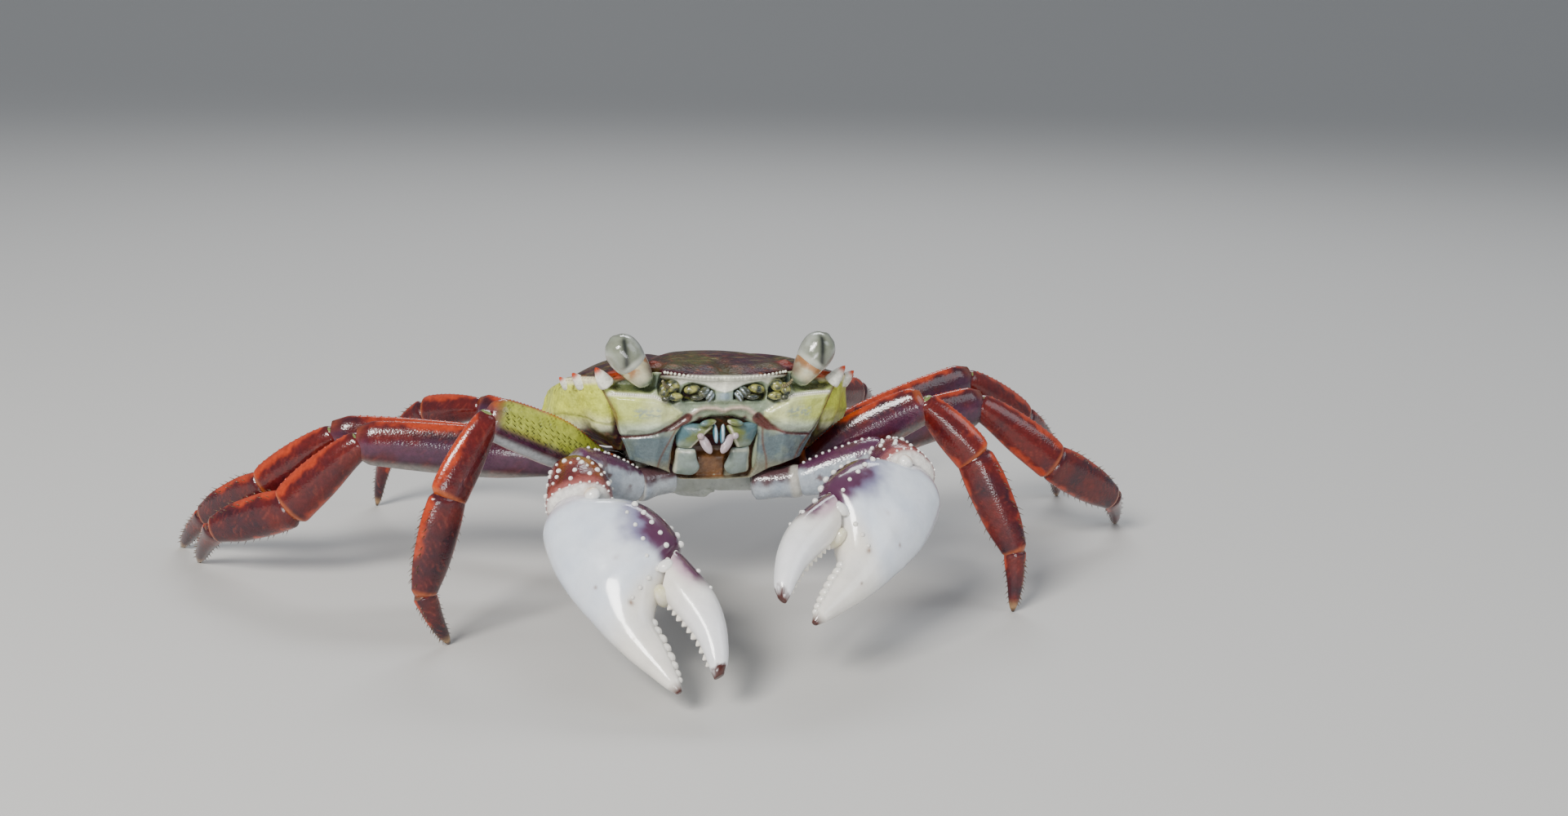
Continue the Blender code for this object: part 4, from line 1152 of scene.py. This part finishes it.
def tail_colour(x, y, z):
    """Pale under the body, and as dark as the back behind it, with browner edges there."""
    dark = ease(-15.5, -10.0, z + 3.0 * (blot(x, y, z, 2.2, 4.0) - 0.5)) * ease(9.0, 14.5, y)
    rear = blend(TAIL_MAROON, TAIL_DARK, blot(x, y, z, 1.8, 9.0))
    return coats(
        blend(TAIL_OLIVE, TAIL_PALE, blot(x, y, z, 2.5) + 0.3 * ease(0, -8, z)),
        (rear, dark),
        (TAIL_EDGE, 0.6 * ease(0.72, 0.9, abs(x) / 7.6) * dark),
    )


tail = new_skin()
grow_ball(tail, 72, 220, tail_point, tail_colour)
tail_shell = shell("tail_shell", 0.38, 0.15, 0.25, 1.0, 0.35, 0.45, shine=0.25, ridged=0.5)
add_piece("abdomen", tail, tail_shell, ["abdomen"], BODY)

# ---- Claws ----
# Each claw is a swollen, glossy palm with a fixed finger, and a free finger hinged on its slanted end.
# Both are bluish porcelain white with red-brown fingertips, and the upper margins are purple with rows of
# round white tubercles. Palms are 34 mm long and 18 mm deep.
PORCELAIN = (0.66, 0.73, 0.84)
IVORY = (0.84, 0.79, 0.70)
PURPLE = (0.085, 0.022, 0.060)
PEARL = (0.86, 0.84, 0.80)
FINGER_TIP = (0.060, 0.009, 0.005)
HINGE_SKIN = (0.66, 0.62, 0.34)
CLAW_WHITE = (0.80, 0.83, 0.88)
VIOLET = (0.22, 0.21, 0.34)
STAIN = (0.20, 0.09, 0.03)
MAUVE = (0.50, 0.38, 0.42)
FINGER_WHITE = (0.86, 0.86, 0.88)
ROSE = (0.45, 0.20, 0.35)
KNUCKLE_TAN = (0.66, 0.42, 0.22)
# The palm with its fixed finger, in the claw's own frame: x along it, y to its upper margin, z out of its
# outer face. Stations are (x, lower edge, upper edge, half thickness).
PALM = (
    (-1.6, -3.4, 1.6, 2.4), (0.0, -5.3, 2.6, 3.5), (1.6, -6.5, 4.0, 4.2), (3.2, -7.0, 6.5, 4.6),
    (5.0, -7.3, 8.3, 4.85), (7.0, -7.5, 9.4, 5.0), (10.0, -7.5, 10.2, 5.1), (12.6, -7.2, 10.4, 4.95),
    (14.2, -6.95, 9.9, 4.8), (15.4, -6.75, 8.5, 4.65), (17.0, -6.35, 6.3, 4.3), (19.0, -5.95, 4.0, 3.8),
    (21.0, -5.5, 2.2, 3.3), (23.0, -4.95, 1.3, 2.8), (26.0, -4.0, 1.25, 2.3), (29.0, -2.85, 1.0, 1.85),
    (31.5, -1.9, 0.75, 1.4), (33.2, -1.15, 0.45, 0.9), (33.9, -0.7, 0.1, 0.4),
)
# Blunt teeth on the fixed finger: x, radius.
FIXED_TEETH = (
    (22.6, 0.75), (24.0, 0.9), (25.5, 0.95), (27.0, 0.9), (28.5, 0.92), (29.9, 0.8), (31.2, 0.65),
    (32.2, 0.5),
)
# Rows of tubercles on the palm's upper margin: lean off its top, size, start, step.
TUBERCLE_ROWS = (
    (0.0, 0.50, 4.9, 1.75), (0.11, 0.46, 5.8, 2.1), (-0.11, 0.40, 5.4, 2.2), (0.17, 0.30, 7.0, 2.6),
)
TUBERCLES, MARGIN_END = 6, 15.2
# The beads of the palm's ridge on each face, and the four tubercles on the free finger by their radius.
RIDGE_BEADS = 6
FINGER_TUBERCLES = (0.5, 0.42, 0.36, 0.3)
# Small brown stains on the palm: x, y, size.
STAINS = ((19.8, -0.2, 0.32), (15.2, -3.6, 0.20), (13.0, 1.2, 0.26), (24.5, -2.2, 0.18))
# The tip of the fixed finger, and from there to the free finger's: x, y.
PALM_TIP = (33.9, -0.35)
TIP_TO_TIP = (0.8, 6.25)
# The free finger, in the same frame.
FREE_FINGER = (
    (13.0, 5.0, 8.6, 2.2), (15.0, 4.6, 9.6, 3.0), (18.0, 4.3, 10.3, 3.2), (21.3, 4.4, 10.8, 3.1),
    (24.6, 5.0, 10.8, 2.8), (28.0, 5.4, 10.1, 2.4), (31.0, 5.2, 8.9, 1.9), (33.2, 4.9, 7.7, 1.3),
    (34.7, 4.7, 6.3, 0.5),
)
# Pointed teeth on the free finger: x, size.
FREE_TEETH = (
    (20.4, 0.40), (21.5, 0.48), (22.6, 0.46), (23.7, 0.56), (24.9, 0.50), (26.1, 0.52), (27.3, 0.60),
    (28.6, 0.50), (29.8, 0.52), (31.0, 0.46), (32.1, 0.40),
)
# The plane in which the free finger meets the palm: a point in it and its slope.
HINGE = Vector((15.9, 7.9, 0))
HINGE_SLOPE = Vector((0.72, 0.69, 0))


def corners(name):
    """A CAD piece's corner points in millimetres, each once."""
    mesh = nodes[name].data
    found = np.empty(len(mesh.vertices) * 3)
    mesh.vertices.foreach_get("co", found)
    return np.unique(np.round(found.reshape(-1, 3) / MM, 3), axis=0)


def joint_between(name, other, reach=1.0):
    """The middle of the two end faces with which these pieces meet."""
    here, there = corners(name), corners(other)
    apart = np.linalg.norm(here[:, None, :] - there[None, :, :], axis=2)
    near_here = here[apart.min(axis=1) < max(reach, apart.min() + 0.3)]
    near_there = there[apart.min(axis=0) < max(reach, apart.min() + 0.3)]
    return Vector((near_here.mean(axis=0) + near_there.mean(axis=0)) / 2)


def farthest(name, point):
    """A CAD piece's corner farthest from a point."""
    found = corners(name)
    return Vector(found[np.argmax(np.linalg.norm(found - np.array(point), axis=1))])


def claw_frame(letter):
    """The claw's own frame, from its wrist and the tips of its two fingers."""
    wrist = joint_between(f"claw_{letter}_carpus", f"claw_{letter}_palm", 1.2)
    fixed_tip = farthest(f"claw_{letter}_palm", wrist)
    free_tip = farthest(f"claw_{letter}_dactyl", wrist)
    normal = (fixed_tip - wrist).cross(free_tip - wrist).normalized()
    slope = math.atan2(TIP_TO_TIP[1], TIP_TO_TIP[0])
    along = Matrix.Rotation(-slope, 3, normal) @ (free_tip - fixed_tip).normalized()
    up = normal.cross(along)
    origin = fixed_tip - along * PALM_TIP[0] - up * PALM_TIP[1]
    return frame_matrix(origin, along, up, normal)


def share_along(stations, x):
    """How far x lies along the stations, from 0 to 1."""
    return (x - stations[0][0]) / (stations[-1][0] - stations[0][0])


def palm_colour(x, y, z):
    """White, yellower on the finger, with a violet and purple upper margin and a red-brown fingertip."""
    down = station_at(PALM, x)[1] - y
    edge = 4.3 * ease(1.0, 10.0, x) + 2.4 * (blot(x, y, z, 2.4, 5.0) - 0.5)
    edge -= 0.3 * abs(z) * ease(9.0, 4.0, x)
    on_top = ease(2.0, 5.5, x) * ease(17.2, 15.6, x) * mix(1.0, ease(5.5, 7.5, y), ease(12.0, 15.0, x))
    from_stains = [(math.hypot((x - at_x) * 0.7, y - at_y), size) for at_x, at_y, size in STAINS]
    return coats(
        blend(PORCELAIN, CLAW_WHITE, blot(x, y, z, 6.0)),
        (IVORY, ease(17, 26, x) * 0.85),
        (IVORY, 0.9 * gauss(x - 19.5, 3.0) * ease(6.5, 2.0, down)),
        (VIOLET, on_top * ease(edge + 4.2, edge - 0.2, down)),
        (PURPLE, on_top * ease(edge + 0.4, edge - 1.2, down)),
        *((STAIN, 0.9 * gauss(apart, size)) for apart, size in from_stains),
        (MAUVE, 0.5 * ease(1.6, 0.2, x)),
        (FINGER_TIP, ease(32.9, 33.6, x + 0.5 * abs(z) + 0.8 * (blot(x, y, z, 0.8) - 0.5))),
    )


def free_finger_colour(x, y, z):
    """Ivory turning white, with a short purple margin edged in rose and a red-brown fingertip."""
    down = station_at(FREE_FINGER, x)[1] - y
    margin = ease(2.4, 1.0, down + 0.8 * (blot(x, y, z, 1.5) - 0.5)) * ease(23.5, 20.0, x)
    return coats(
        blend(IVORY, FINGER_WHITE, ease(16, 30, x)),
        (PURPLE, margin),
        (ROSE, 0.6 * gauss(down - 2.2, 0.8) * ease(23, 19, x)),
        (FINGER_TIP, ease(33.5, 34.2, x + 0.3 * abs(z) + 1.0 * (blot(x, y, z, 0.9) - 0.5))),
    )


def knuckle_colour(x, y, z):
    return blend(PEARL, KNUCKLE_TAN, ease(0.9, -0.4, x))


def skin_colour(x, y, z):
    return blend(HINGE_SKIN, IVORY, blot(x, y, z, 1.0))


claw_shell = shell("porcelain_claw", 0.20, 0.75, 0.06, 2.5, 0.05, 0.6, milky=0.25)

for letter, side in SIDES:
    matrix = claw_frame(letter)
    palm = new_skin()
    palm_shape = limb_shape(PALM, 2.25, 2.15, 0.05)
    grow_ball(palm, 96, 170, palm_shape, palm_colour)
    for x, size in FIXED_TEETH:
        edge = station_at(PALM, x)[1]
        blunt = Matrix.Translation((x, edge - 0.25 * size, 0.0)) @ Matrix.Diagonal((0.95, 1.0, 1.15, 1.0))
        ball = bmesh.ops.create_icosphere(palm, subdivisions=2, radius=size, matrix=blunt)
        paint(palm, ball["verts"], palm_colour)
    for row, (lean, size, start, step) in enumerate(TUBERCLE_ROWS):
        for k in range(TUBERCLES):
            x = start + k * step
            if x > MARGIN_END:
                continue
            jitter = 0.012 * math.sin(7.1 * k + 3 * row)
            spot = palm_shape(0.25 - lean + jitter, share_along(PALM, x))
            bead(palm, spot, size * (1 + 0.18 * math.sin(5.3 * k + row)), PEARL, 2)
    # A beaded cream ridge round the slanted end, and the knuckle on which the palm turns at the wrist.
    for face_side in (-1, 1):
        for k in range(RIDGE_BEADS):
            turn = (0.25 + face_side * (0.035 + 0.035 * k)) % 1.0
            spot = palm_shape(turn, share_along(PALM, 15.0 + 0.85 * k))
            bead(palm, spot, 0.52 - 0.04 * k, blend(PEARL, IVORY, 0.5), 2)
        knob(palm, Vector((0.7, 2.6, face_side * 3.0)), (1.1, 1.2, 0.9), knuckle_colour)
    add_piece(f"claw_{letter}_palm", palm, claw_shell, [f"claw_{letter}_palm"], matrix)

    finger = new_skin()
    finger_shape = limb_shape(FREE_FINGER, 2.1, 2.3, 0.05)
    grow_ball(finger, 72, 120, finger_shape, free_finger_colour)
    cut = bmesh.ops.bisect_plane(
        finger, geom=[*finger.verts, *finger.edges, *finger.faces], plane_co=HINGE + HINGE_SLOPE * 0.25,
        plane_no=-HINGE_SLOPE, clear_outer=True,
    )
    rim = [edge for edge in cut["geom_cut"] if isinstance(edge, bmesh.types.BMEdge)]
    bmesh.ops.edgeloop_fill(finger, edges=rim)
    for x, size in FREE_TEETH:
        root = Vector((x, station_at(FREE_FINGER, x)[0] + 0.35, 0.0))
        tooth(finger, root, root + Vector((0.25, -0.40 - size, 0.0)), 1.25 * size, lambda a, b, c: IVORY)
    for k, size in enumerate(FINGER_TUBERCLES):
        x = 17.6 + k * 1.6
        bead(finger, finger_shape(0.25 + 0.05 * (-1) ** k, share_along(FREE_FINGER, x)), size, PEARL, 2)
    # The hinge: a pale knuckle on each face, and a bulge of soft yellow skin in the crotch of the fingers.
    for face_side in (-1, 1):
        knob(finger, Vector((16.9, 6.6, face_side * 2.9)), (0.95, 1.25, 0.7), lambda x, y, z: PEARL)
    knob(finger, Vector((19.4, 4.3, 0.0)), (1.5, 1.3, 2.5), skin_colour)
    add_piece(f"claw_{letter}_dactyl", finger, claw_shell, [f"claw_{letter}_dactyl"], matrix)

# ---- Claw arms ----
# The three short joints that carry each palm. The first is pale under a dark brown top. The second is blue
# and pale, with a purple beaded upper edge. The last is a swollen dark red dome, studded with white
# tubercles and purple behind, with a beaded white rim at the palm.
ARM_BLUE = (0.30, 0.35, 0.42)
ARM_PALE = (0.50, 0.54, 0.58)
ARM_BROWN = (0.10, 0.040, 0.035)
HIP_GREY = (0.44, 0.46, 0.46)
HIP_BROWN = (0.060, 0.016, 0.020)
HIP_RIM = (0.50, 0.48, 0.42)
WRIST_RED = (0.090, 0.010, 0.013)
WRIST_RUST = (0.21, 0.034, 0.016)
WRIST_PINK = (0.40, 0.14, 0.13)
WRIST_RIM = (0.80, 0.77, 0.72)
# Stations along each joint: share of its length, half height, half thickness, lift of the middle.
ARM_JOINTS = {
    "ischium": (
        (-0.12, 2.2, 2.2, 0.0), (0.0, 2.6, 2.6, 0.0), (0.5, 2.45, 2.45, 0.0), (0.85, 2.65, 2.5, 0.0),
        (1.05, 2.4, 2.2, 0.0),
    ),
    "merus": (
        (-0.08, 2.0, 1.9, 0.0), (0.0, 2.55, 2.3, 0.0), (0.35, 3.4, 2.8, 0.1), (0.75, 3.75, 3.0, 0.1),
        (0.94, 3.5, 2.9, 0.1), (1.03, 2.9, 2.4, 0.0),
    ),
    "carpus": (
        (-0.08, 2.1, 2.0, 0.0), (0.0, 2.9, 2.7, 0.0), (0.25, 4.1, 3.6, 0.4), (0.6, 4.85, 4.2, 0.5),
        (0.9, 4.95, 4.35, 0.2), (1.02, 4.3, 3.9, 0.0),
    ),
}
WRIST_ROWS, WRIST_TUBERCLES, WRIST_RIM_BEADS = 13, 4, 22
ARM_BEADS = 11


def span_stations(profile, length, factor=1.0):
    """A joint's stations for limb_shape, in millimetres."""
    return [
        (share * length, (lift - high) * factor, (lift + high) * factor, thick * factor)
        for share, high, thick, lift in profile
    ]


def arm_colour(x, y, z):
    """The second joint: blue and pale with brown patches, and purple on its upper edge."""
    patches = ease(0.54, 0.66, blot(x, y, z, 2.4, 4.0)) * ease(-1.5, 0.5, y)
    return coats(
        blend(ARM_BLUE, ARM_PALE, blot(x, y, z, 3.5)),
        (ARM_BROWN, 0.85 * patches),
        (PURPLE, ease(1.7, 2.8, y + 1.2 * (blot(x, y, z, 1.5) - 0.5))),
    )


def hip_colour(x, y, z):
    """The first joint: dark brown above, with a pale rim at its far end."""
    return coats(
        blend(ARM_BLUE, HIP_GREY, blot(x, y, z, 3.5)),
        (HIP_BROWN, 0.95 * ease(-0.2, 1.2, y + 1.4 * (blot(x, y, z, 2.0) - 0.5))),
        (HIP_RIM, 0.8 * ease(5.4, 6.2, x)),
    )


def wrist_colour(front):
    """Red-brown, turning purple away from the front face. front is the sign of z on that face."""

    def colour(x, y, z):
        behind = ease(2.9, -0.4, front * z + 1.8 * (blot(x, y, z, 2.0, 6.0) - 0.5))
        return coats(
            blend(WRIST_RED, WRIST_RUST, 1.5 * blot(x, y, z, 2.6) - 0.35),
            (PURPLE, 0.9 * behind),
            (WRIST_PINK, 0.6 * ease(6.6, 8.2, x)),
            (WRIST_RIM, ease(8.35, 8.8, x + 0.25 * (blot(x, y, z, 1.0) - 0.5))),
        )

    return colour


arm_shell = shell("arm_shell", 0.24, 0.7, 0.18, 1.2, 0.35, 0.4)
wrist_shell = shell("wrist_shell", 0.25, 0.45, 0.22, 0.9, 0.25, 0.4, shine=0.35)

for letter, side in SIDES:
    matrix = claw_frame(letter)
    palm_up = matrix.to_3x3().col[1]
    shoulder = joint_between(f"claw_{letter}_ischium", f"claw_{letter}_merus")
    elbow = joint_between(f"claw_{letter}_merus", f"claw_{letter}_carpus")
    wrist = matrix.translation
    hip = farthest(f"claw_{letter}_ischium", shoulder).lerp(shoulder, 0.12)
    for part, start, end, upright, colour, material in (
        ("ischium", hip, shoulder, Vector((0, 0, 1)), hip_colour, arm_shell),
        ("merus", shoulder, elbow, Vector((0, 0, 1)), arm_colour, arm_shell),
        ("carpus", elbow, wrist, palm_up, wrist_colour(-side), wrist_shell),
    ):
        name = f"claw_{letter}_{part}"
        stations = span_stations(ARM_JOINTS[part], (end - start).length)
        joint = new_skin()
        shape = limb_shape(stations, 2.3, 2.3, 0.08)
        grow_ball(joint, 64, 60, shape, colour)
        if part == "carpus":
            for row in range(WRIST_ROWS):
                for k in range(WRIST_TUBERCLES):
                    depth = 0.26 + 0.16 * k + 0.05 * math.sin(4.0 * row + 1.7 * k)
                    size = 0.24 + 0.20 * (0.5 + 0.5 * math.sin(3.7 * row + 2.3 * k))
                    turn = (row - 4) * 0.072 + 0.02 * math.sin(5 * k + row)
                    bead(joint, shape(turn % 1.0, depth), size, PEARL, 2)
            for k in range(WRIST_RIM_BEADS):
                bead(joint, shape(k / WRIST_RIM_BEADS, 0.91), 0.24, PEARL)
        elif part == "merus":
            for k in range(ARM_BEADS):
                bead(joint, shape(0.25 + 0.01 * math.sin(3 * k), 0.14 + 0.07 * k), 0.30, PEARL)
        add_piece(name, joint, material, [name], span_matrix(start, end, upright))

# ---- Walking legs ----
# Eight flattened legs of five joints. The broad thighs are dark red with glossy orange-red edges,
# purple-black flat faces and fine cross-lines. The last two joints carry short dark bristles and end in a
# horny claw.
ORANGE = (0.38, 0.040, 0.010)
DARK_FACE = (0.028, 0.007, 0.014)
DEEP_RED = (0.105, 0.008, 0.007)
LINE_RUST = (0.22, 0.035, 0.02)
JOINT_ORANGE = (0.50, 0.11, 0.02)
THIGH_PURPLE = (0.075, 0.024, 0.058)
THIGH_GREY = (0.30, 0.31, 0.28)
THIGH_GREEN = (0.42, 0.46, 0.06)
HAIR_BLACK = (0.02, 0.02, 0.01)
THIGH_BLUE = (0.34, 0.36, 0.38)
HORN = (0.33, 0.20, 0.09)
HORN_TIP = (0.05, 0.02, 0.012)
BRISTLE_BROWN = (0.10, 0.05, 0.02)
# Stations along each joint of the widest leg: share of its length, half height, half thickness, lift.
LEG_JOINTS = {
    "coxa": (
        (-0.15, 2.0, 2.0, 0.0), (0.0, 2.55, 2.5, 0.0), (0.55, 2.3, 2.2, 0.0), (0.9, 2.4, 2.0, 0.0),
        (1.08, 1.9, 1.6, 0.0),
    ),
    "merus": (
        (-0.035, 1.6, 1.3, 0.0), (0.0, 2.2, 1.8, 0.0), (0.07, 2.5, 1.9, 0.05), (0.16, 3.0, 1.95, 0.1),
        (0.4, 4.15, 2.25, 0.2), (0.68, 4.2, 2.15, 0.2), (0.9, 3.85, 2.1, 0.1), (0.985, 3.5, 2.0, 0.0),
        (1.02, 2.9, 1.5, 0.0),
    ),
    "carpus": (
        (-0.06, 1.6, 1.2, 0.0), (0.0, 2.25, 1.7, 0.0), (0.22, 2.85, 2.0, 0.3), (0.55, 3.5, 2.15, 0.3),
        (0.85, 3.65, 2.1, 0.2), (0.985, 3.45, 2.0, 0.0), (1.04, 2.8, 1.5, 0.0),
    ),
    "propodus": (
        (-0.06, 2.6, 1.4, 0.0), (0.0, 3.3, 1.95, 0.0), (0.12, 3.6, 2.0, 0.05), (0.3, 3.75, 2.0, 0.1),
        (0.7, 3.35, 1.85, 0.1), (0.94, 2.5, 1.6, 0.05), (1.0, 2.3, 1.5, 0.0), (1.03, 1.8, 1.1, 0.0),
    ),
    "dactyl": (
        (-0.06, 1.5, 1.0, 0.0), (0.0, 2.0, 1.4, 0.0), (0.2, 1.9, 1.3, 0.0), (0.5, 1.5, 1.1, 0.2),
        (0.8, 1.0, 0.8, 0.1), (0.93, 0.6, 0.5, 0.0), (0.99, 0.35, 0.32, 0.0),
    ),
}
# How wide each pair is, from the front pair back.
LEG_WIDTHS = {1: 0.9, 2: 1.0, 3: 1.0, 4: 0.85}
LEG_REDNESS = {"coxa": 0.5, "merus": 0.35, "carpus": 0.95, "propodus": 0.55, "dactyl": 0.45}
# Soft skin at the near end of a joint: half height, half thickness, colour.
LEG_SKIN = {
    "carpus": (1.95, 1.45, (0.17, 0.21, 0.07)),
    "propodus": (2.9, 1.5, (0.12, 0.04, 0.025)),
    "dactyl": (1.75, 1.15, (0.12, 0.05, 0.03)),
}
# Beads on the upper edge, rows of bristles by their turn round the joint, and the thigh's rows of hairs.
LEG_BEADS = {"merus": 30, "carpus": 12}
BRISTLE_ROWS, BRISTLES = (0.25, 0.75, 0.16, 0.34), 9
HAIR_ROWS, HAIRS = 5, 15


def leg_colour(half, length, part, front):
    """The leg's colour. front is the sign of z on its forward face if that face is green, or 0."""
    redness = LEG_REDNESS[part]

    def colour(x, y, z):
        edge = abs(y) / half
        cloudy = blot(x, y, z, 4.0, 2.0)
        tone = blend(DARK_FACE, DEEP_RED, redness + 1.6 * (cloudy - 0.5))
        lines = gauss((x * 0.8 + 0.9 * y + 2.5 * cloudy) % 1.0 - 0.5, 0.14)
        lines *= ease(0.45, 0.7, blot(x, y, z, 1.4, 8.0))
        tone = blend(tone, LINE_RUST, 0.45 * lines * ease(0.95, 0.5, edge))
        band = ease(0.76, 1.0, edge + 0.4 * (blot(x, y, z, 2.0, 6.0) - 0.5) + 0.22 * (redness - 0.4))
        tone = blend(tone, ORANGE, band)
        tone = blend(tone, JOINT_ORANGE, 0.6 * ease(1.0, 0.2, abs(x - length)))
        if part == "merus":
            tone = blend(tone, THIGH_PURPLE, 0.65 * ease(0.60, 0.15, edge + 0.5 * (cloudy - 0.5)))
            lower = ease(-0.45, -0.85, y / half) * ease(0.0, 0.7, abs(z))
            tone = blend(tone, THIGH_GREY, lower * 0.6)
        if front:
            hair = gauss((x * 0.9 - 0.8 * y) % 1.0 - 0.5, 0.12) * ease(0.4, 0.6, blot(x, y, z, 1.5, 4.0))
            green = blend(THIGH_GREEN, HAIR_BLACK, 0.8 * hair)
            ahead = ease(0.1, 0.9, z * front)
            tone = blend(tone, green, ahead * ease(-0.35, 0.05, y / half) * ease(1.0, 0.9, x / length))
            tone = blend(tone, THIGH_BLUE, 0.9 * ahead * ease(-0.5, -0.75, y / half))
        if part == "dactyl":
            tone = blend(tone, HORN, ease(0.75, 0.95, x / length))
            tone = blend(tone, HORN_TIP, ease(0.90, 0.97, x / length))
        return tone

    return colour


def bristle(bm, root, tip, width, colour):
    """A stiff bristle or spine, with its root sunk in the shell."""
    line = tip - root
    turn = line.to_track_quat("Z", "Y").to_matrix().to_4x4()
    cone = bmesh.ops.create_cone(
        bm, cap_ends=True, segments=5, radius1=width, radius2=width * 0.12, depth=line.length,
        matrix=Matrix.Translation(root + line / 2) @ turn,
    )
    paint(bm, cone["verts"], lambda x, y, z: colour)


leg_shell = shell("wet_leg", 0.20, 0.6, 0.25, 0.8, 0.20, 0.35, shine=0.30, ridged=0.25)

for number, width in LEG_WIDTHS.items():
    for letter, side in SIDES:
        names = [f"leg{number}_{letter}_{part}" for part in LEG_JOINTS]
        joints = [joint_between(a, b) for a, b in zip(names, names[1:])]
        hip = farthest(names[0], joints[0]).lerp(joints[0], 0.1)
        lowest = corners(names[-1])
        tip = Vector(lowest[lowest[:, 2] < 0.05].mean(axis=0))
        joints = [hip, *joints, tip]
        outward = joints[2] - joints[1]
        outward.z = 0.0
        flat_side = outward.normalized().cross(Vector((0, 0, 1)))
        for index, (part, profile) in enumerate(LEG_JOINTS.items()):
            start, end = joints[index], joints[index + 1]
            upright = flat_side.cross(end - start)
            if upright.dot(outward.normalized() + Vector((0, 0, 1))) < 0:
                upright.negate()
            length = (end - start).length
            stations = span_stations(profile, length, width)
            half = max(high for share, high, thick, lift in profile) * width
            segment = new_skin()
            shape = limb_shape(stations, 1.75, 2.0, 0.07)
            green_face = -1 if (number, letter, part) == (1, "r", "merus") else 0
            grow_ball(segment, 56, 84, shape, leg_colour(half, length, part, green_face))
            if part in LEG_SKIN:
                tall, thick, skin = LEG_SKIN[part]
                radii = (0.9, tall * width, thick * width)
                knob(segment, Vector((0.0, 0.1, 0.0)), radii, lambda x, y, z: skin)
            if green_face:
                for row in range(HAIR_ROWS):
                    for k in range(HAIRS):
                        root = shape(0.57 - 0.035 * row, 0.16 + 0.05 * k + 0.012 * row)
                        bristle(segment, root, root + Vector((1.0, 0.35, -0.18)), 0.07, HAIR_BLACK)
            if part in ("propodus", "dactyl"):
                for row, turn in enumerate(BRISTLE_ROWS):
                    for k in range(BRISTLES):
                        depth = 0.16 + 0.085 * k + 0.02 * math.sin(3 * k + row)
                        root, ahead = shape(turn, depth), shape(turn, depth + 0.03)
                        out = Vector((0, root.y, root.z)).normalized()
                        lean = (ahead - root).normalized() * 0.8 + out * 0.6
                        size = 0.75 + 0.45 * math.sin(2.2 * k + row) ** 2
                        size *= 0.8 if part == "dactyl" else 1.0
                        bristle(segment, root - out * 0.15, root + lean * size, 0.10, BRISTLE_BROWN)
            beads = LEG_BEADS.get(part, 0)
            for k in range(beads):
                depth = 0.12 + 0.8 * k / beads
                bead(segment, shape(0.25, depth) - Vector((0, 0.1, 0)), 0.24 * width, ORANGE)
            place = span_matrix(start, end, upright)
            add_piece(names[index], segment, leg_shell, [names[index]], place)
